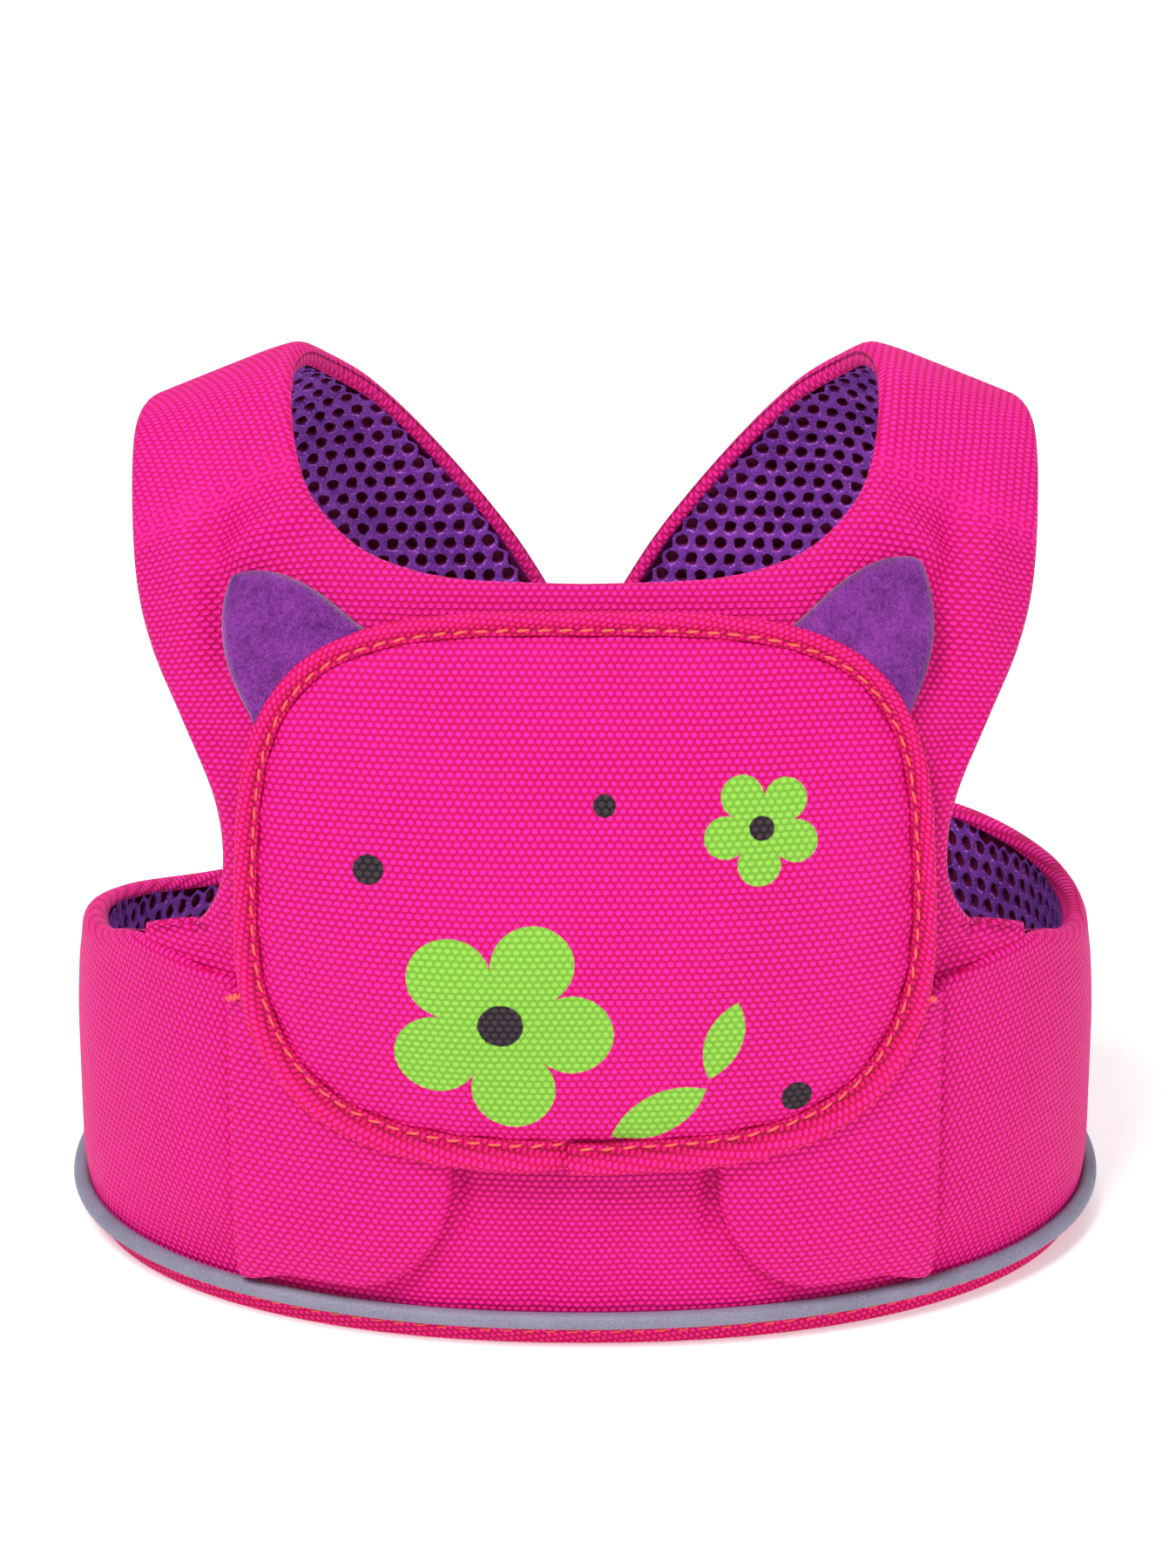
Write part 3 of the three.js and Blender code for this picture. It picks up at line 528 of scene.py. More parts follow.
# %% Grids of the bib and a strap
ROOT, NECK_SHARE, SEAM_SHARE, TIP_SHARE = 0.3, 0.62, 0.3125, 0.5
FLARE_DROP = 6
near_edge = np.array([0, 0.12, 0.45, 1.0, 1.7, 2.5, 3.4, 4.5, 5.4, 6.4])


def spaced(length, fine_start, fine_end, step=1.4):
    """Shares of a length, closer at the ends that are turned edges."""
    start = near_edge if fine_start else near_edge[:1]
    end = near_edge if fine_end else near_edge[:1]
    count = int((length - start[-1] - end[-1]) / step)
    middle = np.linspace(start[-1], length - end[-1], count + 1)
    return np.concatenate([start[:-1], middle, (length - end[::-1])[1:]]) / length


def bib_point(u, v):
    """The bib's half, u to the side and v up: the blend of its four edges, less its corners."""
    u, v = np.broadcast_arrays(u, v)

    side_top = outer_edge.at(ROOT)
    seam_top = np.array([BIB_SEAM, seam_run])
    tip = outer_edge.at(0)

    def top(share):
        neck = inner_edge.at(share / NECK_SHARE * ROOT)
        beyond = np.clip((share - NECK_SHARE) / (1 - NECK_SHARE), 0, 1)[..., None]
        strap = mix(inner_edge.at(ROOT), side_top, beyond)
        return np.where((share <= NECK_SHARE)[..., None], neck, strap)

    def side(share):
        low = pair(BIB_SEAM, seam_run * np.minimum(share / SEAM_SHARE, 1))
        beyond = np.clip((share - SEAM_SHARE) / (TIP_SHARE - SEAM_SHARE), 0, 1)
        flare = mix(seam_top, tip, beyond[..., None])
        flare = flare - pair(0, FLARE_DROP * np.sin(np.pi * beyond) ** 0.6)
        high = outer_edge.at(np.clip((share - TIP_SHARE) / (1 - TIP_SHARE), 0, 1) * ROOT)
        lower = np.where((share <= SEAM_SHARE)[..., None], low, flare)
        return np.where((share <= TIP_SHARE)[..., None], lower, high)

    u1, v1 = u[..., None], v[..., None]
    neck_height = inner_edge.at(0)[1]
    point = pair(u * BIB_SEAM, 0) * (1 - v1) + top(u) * v1
    point = point + pair(0, v * neck_height) * (1 - u1) + side(v) * u1
    corners = pair(BIB_SEAM, 0) * u1 * (1 - v1) + pair(0, neck_height) * (1 - u1) * v1
    return point - corners - side_top * u1 * v1


strap_across = spaced(STRAP, True, True)
strap_along = np.linspace(0, 1, 150)
bib_across = np.concatenate(
    [np.linspace(0, NECK_SHARE, 34)[:-1], NECK_SHARE + (1 - NECK_SHARE) * strap_across]
)
bib_up = np.concatenate([
    np.linspace(0.03, SEAM_SHARE, 34)[:-1],
    np.linspace(SEAM_SHARE, TIP_SHARE, 16)[:-1],
    TIP_SHARE + (1 - TIP_SHARE) * spaced(80, False, True, 1.5),
])
bib_map = bib_point(bib_across[None, :], bib_up[:, None])
strap_share = mix(ROOT, 1, strap_along)
strap_map = mix(
    inner_edge.at(strap_share)[:, None],
    outer_edge.at(strap_share)[:, None],
    strap_across[None, :, None],
)
print("bib and strap grids", bib_map.shape[:2], strap_map.shape[:2])

# %% Folds of the front and turned edges
PADDING = 6.0
folds = [
    # x and run where a fold starts and ends, its half width, and its depth, mm
    (79, 196, 74, 148, 4.5, -3.4),
    (86, 192, 82, 156, 4.5, 1.8),
    (79, 178, 54, 191, 4.2, 2.6),
    (64, 204, 42, 186, 5.0, -2.2),
    (92, 146, 74, 132, 5.0, -2.2),
    (82, 128, 74, 112, 4.0, 0.6),
    (34, 8, 30, 30, 5.0, 0.5),
    (12, 6, 8, 32, 4.5, -0.6),
    (97, 90, 74, 84, 2.6, -1.1),
]


def beside_paw(x, run):
    """A shallow valley in the bib along a paw's inner edge."""
    across = np.exp(-(((np.abs(x) - 26.4) / 1.5) ** 2))
    return -1.5 * across * smooth(22, 32, run) * (1 - smooth(40, 48, run))


def folding(x, run):
    """The lift of all folds: each a bell across its line, fading towards both ends."""
    total = np.zeros(np.broadcast(x, run).shape)
    for ax, arun, bx, brun, width, depth in folds:
        along = np.array([bx - ax, brun - arun], float)
        length = np.hypot(*along)
        dx, dy = np.abs(x) - ax, run - arun
        share = (dx * along[0] + dy * along[1]) / length**2
        aside = (dx * along[1] - dy * along[0]) / length
        fade = np.exp(-((np.maximum(np.abs(share - 0.5) - 0.25, 0) * 4.0) ** 2))
        total = total + depth * np.exp(-((aside / width) ** 2)) * fade
    return total


def turned(distance, radius=PADDING / 2):
    """How far a skin drops towards its edge: a quarter circle of the radius."""
    inside = np.clip(1 - distance / radius, 0, 1)
    return radius * (1 - np.sqrt(1 - inside**2))


def tuck(distance, start=1.8, end=3.2, rise=2.4):
    """How far the turned cloth rises to the lining's edge, inside."""
    return rise * smooth(start, end, distance)


shell = Cloth()
for side in (-1, 1):
    for plan, walls in ((bib_map, "foot"), (strap_map, "top")):
        x, run = plan[..., 0] * side, plan[..., 1]
        gap = distance_to(free_edges, x, run)
        soft = (folding(x, run) + beside_paw(x, run)) * smooth(0, 6, gap)
        outer = lifted(sheet, x, run, soft - turned(gap))
        inner = lifted(sheet, x, run, soft * 0.6 - PADDING + turned(gap) + tuck(gap))
        leaning = smooth(188, 205, run + 0.25 * (np.abs(x) - 70))
        place = pair(x, run)
        shell.skins(outer, inner, place, side < 0, walls, leaning)
        shell.wall(outer[:, -1], inner[:, -1], place[:, -1], side < 0)
        if plan is bib_map:
            neck = np.s_[-1, bib_across <= NECK_SHARE + 1e-9]
            shell.wall(outer[neck], inner[neck], place[neck], side < 0)
        else:
            shell.wall(outer[:, 0], inner[:, 0], place[:, 0], side > 0)
shell.piece("bib_and_straps", pink, "pink_weave", ["front_shell"], fill=0.4)

# %% [markdown]
# ## The spacer mesh
# The lining is a thick knit with round holes, so each hole has a lip and a wall. One cell of the
# knit is a hexagon of rings: its border on the strand's back, the lip, and the wall going down. The
# cell is copied to every place of a honeycomb as one array and carried on to the form. A bump
# would look flat in the straps, where the holes are seen from the side.


# %% Mesh finish
def knit(s):
    """Purple strands with painted highlights on loops and lips, going to dark wine in the depth of a
    hole: painted shade over the maroon of the cloth behind.
    """
    depth = mark_of(s)
    loops = grain(s, 0.6, 2.5)
    cloud = grain(s, 8, 1.0)
    strand = (loops * 0.8 + cloud * 0.35).ramp(0.34, 0.76)
    base = strand.blend((92, 18, 138), (150, 66, 190))
    # painted highlight on the loops, a little stronger at a hole's lip and none deep in the hole
    lit = (grain(s, 0.9, 3.0, (1, 1, 2.2)) + depth.ramp(0.02, 0.2) * 0.12).ramp(0.62, 0.7)
    base = (lit * (1 - depth.ramp(0.25, 0.4))).blend(base, (214, 126, 226))
    # painted shade: dark wine down a hole's wall and on the ground behind, over the maroon of the
    # cloth seen through
    base = depth.ramp(0.2, 0.62).blend(base, (104, 4, 56))
    return {"Base Color": base, "Normal": bump(s, loops, 0.3), "Roughness": 0.5 + loops * 0.2}


knit_finish = finish("purple_spacer_mesh", knit, Specular_IOR_Level=0.35)

# %% One cell and the honeycomb
PITCH, STRETCH, HOLE_DEPTH = 4.4, 1.28, 1.9
spoke = np.radians(np.arange(13) * 30.0)
border = PITCH / 2 / np.cos((spoke + np.pi / 6) % (np.pi / 3) - np.pi / 6)
cell_rings = [
    # share of the border, and of the hole's oval, and how deep
    (1.0, 0.0, 0.1), (0.5, 0.52, 0.0), (0.0, 1.1, 0.25), (0.0, 1.0, 0.7), (0.0, 0.94, HOLE_DEPTH),
]
HOLE = np.stack([1.42 * np.cos(spoke), 1.5 * np.sin(spoke)], -1)
lattice = np.stack([border * np.cos(spoke), border * np.sin(spoke)], -1)
cell_plan = np.stack([a * lattice + b * HOLE for a, b, _ in cell_rings]) * (1, STRETCH)
cell_depth = np.array([d for _, _, d in cell_rings])


def honeycomb(width, low, high):
    """Centres of the cells, every other row shifted by half a pitch."""
    rise = PITCH * STRETCH * np.sqrt(3) / 2
    columns = np.arange(-int(width / PITCH) - 1, int(width / PITCH) + 2)
    rows = np.arange(int(low / rise) - 1, int(high / rise) + 2)
    x = columns[None, :] * PITCH + (rows % 2)[:, None] * PITCH / 2
    return pair(x, rows[:, None] * rise).reshape(-1, 2)


def inside(polygon, points):
    """True where a line from the point to the right crosses the polygon an odd number of times."""
    odd = np.zeros(len(points), bool)
    for (ax, ay), (bx, by) in zip(polygon, np.roll(polygon, -1, axis=0)):
        spans = (ay > points[:, 1]) != (by > points[:, 1])
        rise = by - ay if by != ay else 1e-9
        odd ^= spans & (points[:, 0] < (bx - ax) * (points[:, 1] - ay) / rise + ax)
    return odd


MESH_LIFT, BACKING_LIFT, MESH_GAP = -5.6, -4.1, 1.4


def even_lift(a, b):
    """The mesh's plain depth inside the form."""
    return MESH_LIFT + 0 * a


def netting(centres, carry, lift_at=even_lift, keep=None):
    """The cells at the centres, carried on to a surface at a lift, with their holes cut inwards."""
    plan = centres[:, None, None, :] + cell_plan[None]
    plan = plan + 0.16 * np.sin(plan[..., ::-1] * 1.9 + plan * 0.7)
    a, b = keep(plan[..., 0], plan[..., 1]) if keep else (plan[..., 0], plan[..., 1])
    depth = cell_depth[None, :, None] + 0 * a
    cloth = Cloth()
    # the mark is how deep a point lies in its hole, which the finish paints dark as shade
    cloth.copies(lifted(carry, a, b, lift_at(a, b) + depth), plan, depth / HOLE_DEPTH)
    return cloth


# %% Lining of the bib and straps
half_plan = np.vstack([
    [(0, 8), (BIB_SEAM, 8), (BIB_SEAM, seam_run)],
    outer_edge.points[::8],
    inner_edge.points[::-8],
])
centres = honeycomb(100, 0, yoke_run)
folded = np.abs(centres) * (1, 0) + centres * (0, 1)
centres = centres[inside(half_plan, folded) & (distance_to(free_edges, *centres.T) > 2.0)]


def room(x, run):
    """Distance to the free edges, below zero outside them."""
    within = inside(half_plan, pair(np.abs(x), run).reshape(-1, 2)).reshape(x.shape)
    return distance_to(free_edges, x, run) * np.where(within, 1, -1)


def kept_in(x, run):
    """Points too near the free edges move in along the slope of their room, where that is sure."""
    gap = room(x, run)
    near = (gap < MESH_GAP) & (gap > -4)
    px, prun, step = x[near], run[near], 0.2
    slopes = np.stack([
        room(px + step, prun) - room(px - step, prun),
        room(px, prun + step) - room(px, prun - step),
    ]) / (2 * step)
    sure = (np.abs(slopes) < 1.1).all(0)
    moves = slopes * np.clip(MESH_GAP - gap[near], 0, 4) * sure
    x, run = x.copy(), run.copy()
    x[near] += moves[0]
    run[near] += moves[1]
    return x, run


def lining_lift(x, run):
    """5.6 mm inside the form at its edge, where it goes under the turned cloth, and 6.5 within."""
    return MESH_LIFT - 0.9 * smooth(4, 12, distance_to(free_edges, x, run))


lining = netting(centres, sheet, lining_lift, kept_in)
# the ground behind the holes, drawn back from the neckline and from the flare's edge. Its mark
# paints it dark wine as painted shade, but purple near the free edges.
bib_back = bib_map[:, :-3].copy()
bib_back[-3:, :34] = bib_back[-4, :34]
bib_back[..., 0] = np.minimum(bib_back[..., 0], mix(71, 120, smooth(96, 104, bib_back[..., 1])))
for side in (-1, 1):
    for plan in (bib_back[::2, ::2], strap_map[::2, 3:-3:2]):
        x, run = plan[..., 0] * side, plan[..., 1]
        gap = distance_to(free_edges, x, run)
        backing = lifted(sheet, x, run, -3.0 - 1.2 * smooth(0.3, 2.5, gap))
        lining.grid(backing, pair(x, run), side > 0, smooth(2, 4, gap))
lining.piece("mesh_lining", knit_finish, "purple_mesh", ["front_lining"], fill=0.3)

# %% [markdown]
# ## The belt wings
# Each wing starts at the seam beside the panel, runs round the side and ends behind, where the
# webbing leaves it. Its top is a padded roll. The wings lie over the flare of the bib in front, so
# they stand a little proud there and sink to the form at the side.

# %% Wing shape
SEAM_X = BIB_SEAM + 0.15
HEM, BELT_TOP, TOP_RISE, END_ROUND = 5.9, 71.0, 11.6, 9
belt_angles = np.linspace(-180, 180, 1441)
belt_lengths = lengths_along(belt(belt_angles, np.full(belt_angles.shape, 45.0)))
belt_lengths -= belt_lengths[720]
top_rows = np.array([
    # angle from the front, rise in front, share of the back height
    (38, 0.8, 0), (48, 0.93, 0), (57, 0.98, 0), (63, 0.82, 0), (74, 0.36, 0),
    (88, 0.02, 0), (108, 0, 0.45), (132, 0, 1), (168, 0, 1),
])


def belt_length(angle):
    """Arc length along the belt from the middle of the front."""
    return np.interp(angle, belt_angles, belt_lengths)


def wing_top(angle, back):
    """Height of a wing's top edge: the belt's top and its rise in front, then its back height."""
    heights = top_rows[:, 1] * TOP_RISE + mix(BELT_TOP, back, top_rows[:, 2])
    curve = spline(heights[:, None], 40)[:, 0]
    row = np.interp(angle, top_rows[:, 0], np.arange(len(top_rows)))
    return np.interp(row, np.arange(len(curve)) / 40, curve)


def wing_plan(u, v, end, back, inset=0.0, start=SEAM_X, behind=False, round_end=True):
    """Angle and height of a wing, u from its start to its end, which can be rounded, v upwards."""
    u, v = np.broadcast_arrays(u, v)
    low = HEM + inset * 0.5

    def angle_for(height):
        return mix(angle_at(start, height, behind), angle_at(end, height, True), u)

    top_angle = angle_for(BELT_TOP)
    near_end = np.clip((top_angle - angle_at(end, low, True)) / END_ROUND + 1, 0, 1)
    top = wing_top(top_angle, back) - inset * 1.2 - (END_ROUND * near_end**2 if round_end else 0)
    height = mix(low, top, v)
    return angle_for(height), height


def wing_stand(x, height):
    """How far a wing stands off the form where it lies over the bib."""
    beside = 1 - smooth(76, 0.94 * BELT_WIDTH, np.abs(x))
    return 2.9 * beside * smooth(11.3, 29.3, height)


def seam_dip(distance):
    """How far a seam pulls the cloth in beside it."""
    return 0.6 * np.exp(-((distance / 1.3) ** 2))


WINGS = [
    # name, side, x where it ends behind, height of its top there
    ("right", -1, 30, 58),
    ("left", 1, 60, 76),
]
SLANT = np.radians(58)
for name, side, end, back in WINGS:
    u, v = spaced(215, True, True, 1.7)[None, :], spaced(66, False, True, 1.6)[:, None]
    angle, height = wing_plan(u, v, end, back)
    length = belt_length(angle)
    flat = pair(length, height)
    gap = distance_to([np.vstack([flat[-1], flat[-2::-1, -1]])], length, height, every=1)
    x = belt(angle, height)[..., 0]
    in_front = angle < 90
    stand = np.where(in_front, wing_stand(x, height), 0)
    free = np.where(in_front, smooth(84, 104, x), 1)
    radius = mix(1.6, 3.0, free)
    from_seam = length - belt_length(angle_at(SEAM_X, height, False))
    outer = stand + 0.35 * smooth(2, 12, gap) - turned(gap, radius) - seam_dip(from_seam)
    over_bib = stand - 2 * radius + turned(gap, radius)
    inner = mix(over_bib, turned(gap) + tuck(gap, rise=2.6) - PADDING, free)
    place = pair(
        length * np.cos(SLANT) + height * np.sin(SLANT),
        height * np.cos(SLANT) - length * np.sin(SLANT),
    ) * (-side, 1)
    wing = Cloth()
    wing.skins(
        lifted(belt, angle * side, height, outer), lifted(belt, angle * side, height, inner),
        place, side < 0, "foot start",
    )
    wing.piece("wing_" + name, pink, "pink_weave", ["belt_wing_" + name], fill=0.4)

# %% [markdown]
# ### Inside the wings
# The same mesh lines each wing, cell by cell, up to the roll of its top edge. Behind, a smooth
# purple cloth takes its place, held by rows of light stitches.

# %% Lining of the wings
FACING_X = 85


def on_belt(length, height):
    """A point of the belt from the arc length along it and the height."""
    return belt(np.interp(length, belt_lengths, belt_angles), height)


def hidden_by_bib(angle):
    """1 in front, where the bib lies inside the wing, and 0 from the side on."""
    return 1 - smooth(68, 82, angle)


for name, side, end, back in WINGS:
    cells = honeycomb(260, 0, 90)
    reach, height = np.abs(cells[:, 0]), cells[:, 1]
    angle = np.interp(reach, belt_lengths, belt_angles)
    first = belt_length(angle_at(73.5, height, False)) + 2
    last = belt_length(angle_at(FACING_X + 0.3, height, True)) - 2
    within = (reach > first) & (reach < last) & (cells[:, 0] * side > 0) & (height > 9)
    within &= height < wing_top(angle, back) - 2.0 - 15 * hidden_by_bib(angle)

    def under_top(length, height, back=back):
        """Points less than the mesh's gap under the wing's top move down to there."""
        around = np.interp(np.abs(length), belt_lengths, belt_angles)
        return length, np.minimum(height, wing_top(around, back) - MESH_GAP)

    net = netting(cells[within], on_belt, keep=under_top)
    u, v = np.linspace(0, 1, 90)[None, :], np.linspace(0, 1, 24)[:, None]
    angle, height = wing_plan(u, v, FACING_X + 0.3, back, inset=1.6, round_end=False)
    height = height - 13 * hidden_by_bib(angle) * v
    gap = wing_top(angle, back) - height
    backing = lifted(belt, angle * side, height, BACKING_LIFT)
    # the ground behind the holes, painted dark wine as shade except just under the top edge
    net.grid(backing, pair(belt_length(angle * side), height), side > 0, smooth(2, 4, gap))
    net.piece("wing_mesh_" + name, knit_finish, "purple_mesh", ["belt_lining_" + name], fill=0.3)

# %% [markdown]
# ## The paws
# The wings' front ends are two tabs sewn on at the seam. Each laps over the bib, runs up under the
# panel and is rounded at its lower inner corner.

# %% Paws
PANEL_X, PANEL_RISE, PANEL_RUN, PANEL_POWER = 71.7, 59.2, 105.7, 3.4
PAW_X, CLEARANCE = 27.9, 0.3


def paw_plan(u, v):
    """x and run of a paw: u from the seam to the inner edge, v from its bottom to the panel."""
    x = mix(BIB_SEAM - 0.15, PAW_X, u)
    reach = np.minimum(x / PANEL_X, 1) ** PANEL_POWER
    panel_edge = PANEL_RUN - PANEL_RISE * (1 - reach) ** (1 / PANEL_POWER)
    top = np.minimum(panel_edge + 7, seam_run - 0.4)
    corner = np.maximum(1 - (x - PAW_X) / 22, 0)
    bottom = mix(13.8, 10.5, smooth(61.2, 73.2, x)) + 28 * (1 - np.sqrt(1 - corner**2))
    return np.broadcast_to(x, np.broadcast(u, v).shape), mix(bottom, top, v)


for name, side in (("right", -1), ("left", 1)):
    u, v = spaced(45, True, True)[None, :], spaced(45, True, False)[:, None]
    x, run = paw_plan(u, v)
    flat = pair(x, run)
    gap = distance_to([np.vstack([flat[0], flat[1:, -1]])], x, run, every=1)
    outer = 4.4 + 1.6 * smooth(0, 12, gap) - turned(gap, 2.2) - seam_dip(BIB_SEAM - x)
    paw = Cloth()
    paw.skins(
        lifted(sheet, x * side, run, outer), lifted(sheet, x * side, run, CLEARANCE),
        flat * (side, 1), side > 0, "foot top start end",
    )
    paw.piece("paw_pad_" + name, pink, "pink_weave", ["paw_" + name], fill=0.4)

# %% [markdown]
# ## The front panel and its binding
# A rounded panel is padded, so it crowns between its sewn edges. A tape is folded round its edge
# and sewn through with orange thread, and the tape's end laps over its start at the bottom.

# %% Panel outline
turn = np.radians(np.arange(-90, 270, 0.5))
soft_cos = np.sign(np.cos(turn)) * np.abs(np.cos(turn)) ** (2 / PANEL_POWER)
soft_sin = np.sign(np.sin(turn)) * np.abs(np.sin(turn)) ** (2 / PANEL_POWER)
outline = np.stack([PANEL_X * soft_cos, PANEL_RUN + PANEL_RISE * soft_sin], -1)
outline = np.vstack([outline, outline[:1]])
outline_lengths = lengths_along(outline)
OUTLINE = outline_lengths[-1]
print("panel outline, mm", OUTLINE.round(1))


def outline_point(distance, outward=0.0):
    """The outline's point at a distance from the bottom middle, anticlockwise, moved outward."""
    distance = np.asarray(distance, float)

    def read(at):
        around = at % OUTLINE
        return np.stack([np.interp(around, outline_lengths, outline[:, k]) for k in (0, 1)], -1)

    along = read(distance + 1.5) - read(distance - 1.5)
    along /= np.linalg.norm(along, axis=-1, keepdims=True)
    aside = np.stack([along[..., 1], -along[..., 0]], -1)
    return read(distance) + aside * np.asarray(outward)[..., None]


def panel_stand(run):
    """The panel lies on the bib at its top and stands off by a paw's thickness lower down."""
    return 0.45 + 2.9 * (1 - smooth(seam_run, PANEL_RUN + 0.6 * PANEL_RISE, run))


def tape_width(run):
    """The tape shows wider at the panel's foot."""
    return mix(7.2, 4.9, smooth(PANEL_RUN - PANEL_RISE + 13, PANEL_RUN, run))


# %% [markdown]
# ### The print on the panel
# Ink lies in the weave, so the floats still show through it, but flatter. The motifs are drawn with
# the shader's own maths on the cloth's millimetres: a flower's edge is a radius that swells and
# shrinks with the angle, a leaf is the overlap of two discs, and a dot is a disc.


# %% Print
def disc(x, y, cx, cy, radius):
    """1 inside a disc, with an edge a third of a millimetre wide."""
    dx, dy = x - cx, y - cy
    return (radius - (dx * dx + dy * dy) ** 0.5).ramp(-0.15, 0.2)


def flower(x, y, cx, cy, radius, petals, turn):
    """1 inside petals: the edge is a share of the radius that follows the cosine of the angle."""
    dx, dy = x - cx, y - cy
    angle = x.maths("ARCTAN2", dy, dx)
    lobe = abs(x.maths("COSINE", angle * (petals / 2) + turn)) ** 0.55
    return (radius * (lobe * 0.5 + 0.5) - (dx * dx + dy * dy) ** 0.5).ramp(-0.15, 0.2)


def leaf(x, y, cx, cy, length, width, turn):
    """1 where two discs overlap, which leaves a pointed oval of a length and width."""
    c, n = float(np.cos(turn)), float(np.sin(turn))
    dx, dy = x - cx, y - cy
    along, aside = dx * c + dy * n, abs(dy * c - dx * n)
    radius = (length**2 / 4 + width**2 / 4) / width
    far = aside + (radius - width / 2)
    return (radius - (along * along + far * far) ** 0.5).ramp(-0.15, 0.2)


green_motifs = [
    # shape, x and y of its middle, then its sizes and turn
    (flower, -17, 80, 23, 5, 0.35), (flower, 36, 121, 12, 5, 1.0),
    (leaf, 15, 60, 22, 9, 0.5), (leaf, 28, 76, 18, 7.5, 1.25),
]
black_motifs = [
    # shape, x and y of its middle, then its radius
    (disc, -17, 80, 4.6), (disc, 36, 121, 2.6), (disc, 43, 62, 3.2), (disc, -44, 112, 3.2),
    (disc, 4, 126, 2.4),
]


def printed_cloth(s):
    """The pink cloth with flowers and leaves in lime green and dots in black."""
    x, y = cloth_place(s)
    edge = (grain(s, 0.8, 1.0) - 0.5) * 0.35
    px, py = x + edge, y + edge
    green, black = (
        reduce(Value.most, [shape(px, py, *numbers) for shape, *numbers in motifs])
        for motifs in (green_motifs, black_motifs)
    )
    height = floats(s, x, y)
    # the tone puts painted highlight on the floats and painted shade in the gaps, on pink, lime and
    # ink alike
    tone = pink_tone(s, height)
    base = tone.blend(SHADED_GAP_PINK, LIT_FLOAT_PINK)
    lime = tone.blend((112, 168, 52), (142, 200, 76))
    ink = tone.blend((30, 22, 30), (62, 50, 56))
    base = black.blend(green.blend(base, lime), ink)
    inked = green.most(black)
    relief = height * (1 - inked * 0.62) + (grain(s, 0.35, 1.0) - 0.5) * 0.25
    return {"Base Color": base, "Normal": bump(s, relief, 0.3), "Roughness": 0.6 + inked * -0.1}


printed = finish("printed_weave", printed_cloth, Specular_IOR_Level=0.13)

# %% Panel
around = np.linspace(0, OUTLINE, 301)
edge_rings = 1 - spaced(10, True, False, 0.8)[::-1] * 0.16
rings = np.concatenate([np.linspace(0, 0.84, 30)[:-1], edge_rings])[:, None]
edge = outline_point(around, 1.0 - tape_width(outline_point(around)[:, 1]))
plan = mix(np.array([0, PANEL_RUN]), edge[None], rings[..., None])
x, run = plan[..., 0], plan[..., 1]
inwards = (1 - rings) * np.linalg.norm(edge - (0, PANEL_RUN), axis=-1)
crown = 2.4 * (1 - np.exp(-inwards / 2.2)) + 2.6 * smooth(0, 55, inwards)
puckers = 0.32 * np.sin(around / 2.3 + 2 * np.sin(around / 17)) * np.exp(-inwards / 6)
swell = 0.7 * np.sin(x / 15 + 0.8) * np.sin(run / 19 + 0.4) * smooth(2, 22, inwards)
base = panel_stand(run)
panel = Cloth()
panel.skins(
    lifted(sheet, x, run, base + 1.2 + crown + puckers + swell), lifted(sheet, x, run, base),
    plan, True, "top",
)
panel.piece("panel_pad", printed, "pink_weave", ["front_panel"], fill=0.6)


# %% [markdown]
# ### Tape and cord finishes
# The tapes are woven in a fine diagonal rib, so ridges cross them at an angle. The reflective cord
# is smooth and grey, covered in tiny glass beads that give it a fine grain.


# %% Rib and beads
def ribbed_tape(s):
    """Narrow ribs that cross the tape at a slant, darker in painted shade where the mark is 1."""
    along, girth = cloth_place(s)
    slanted = (along + girth * 0.9) * 0.72
    height = floats(s, along * 0.72 - girth * 0.75, slanted, 1.7, 1.15)
    tone = (height + (grain(s, 14, 2.0) - 0.5) * 0.4).ramp(0.0, 0.8)
    base = tone.blend((196, 0, 74), (255, 34, 142))
    # painted shade on the tape's outer side, groove and underside
    shaded = tone.blend((140, 0, 48), (216, 6, 96))
    return {"Base Color": mark_of(s).blend(base, shaded), "Normal": bump(s, height, 0.26)}


def beaded(s):
    """Grey with a grain of fine beads and slow grey-blue clouds."""
    beads = grain(s, 0.4, 2.0)
    cloud = grain(s, 12, 2.0)
    tone = (beads * 0.8 + cloud * 0.35).ramp(0.2, 0.95)
    base = tone.blend((104, 104, 124), (148, 148, 168))
    return {"Base Color": base, "Normal": bump(s, beads, 0.08), "Roughness": 0.5 + cloud * 0.15}


tape_finish = finish("pink_ribbed_tape", ribbed_tape, Roughness=0.6, Specular_IOR_Level=0.15)
cord_finish = finish("glass_beads", beaded, Metallic=0.1, Specular_IOR_Level=0.35)


# %% Tube along a path
def tube(name, at, across, up, section, look, slot, node, scale=None, marks=None):
    """A closed section carried along points, each with its across and up direction, and capped."""
    section = np.vstack([section, section[:1]])
    scale = np.ones(len(at)) if scale is None else scale
    points = at[:, None] + across[:, None] * section[None, :, :1]
    points = points + up[:, None] * (section[None, :, 1] * scale[:, None])[..., None]
    place = pair(lengths_along(at)[:, None], lengths_along(section)[None, :])
    left_handed = np.sum(np.cross(across, up) * np.gradient(at, axis=0)) < 0
    cloth = Cloth()
    cloth.grid(points, place, left_handed, 0.0 if marks is None else np.append(marks, marks[0]))
    for end, over in ((0, True), (-1, False)):
        middle = np.broadcast_to(points[end].mean(0), points[end].shape)
        cloth.wall(points[end], middle, place[end], left_handed != over)
    cloth.piece(name, look, slot, [node], weld=0.005)


def rounded(width, thickness, sides, power):
    """A superellipse section of a width and thickness."""
    turn = (np.arange(sides) + 0.5) / sides * 2 * np.pi
    soft = [np.sign(f) * np.abs(f) ** (2 / power) for f in (np.cos(turn), np.sin(turn))]
    return np.stack([width / 2 * soft[0], thickness / 2 * soft[1]], -1)


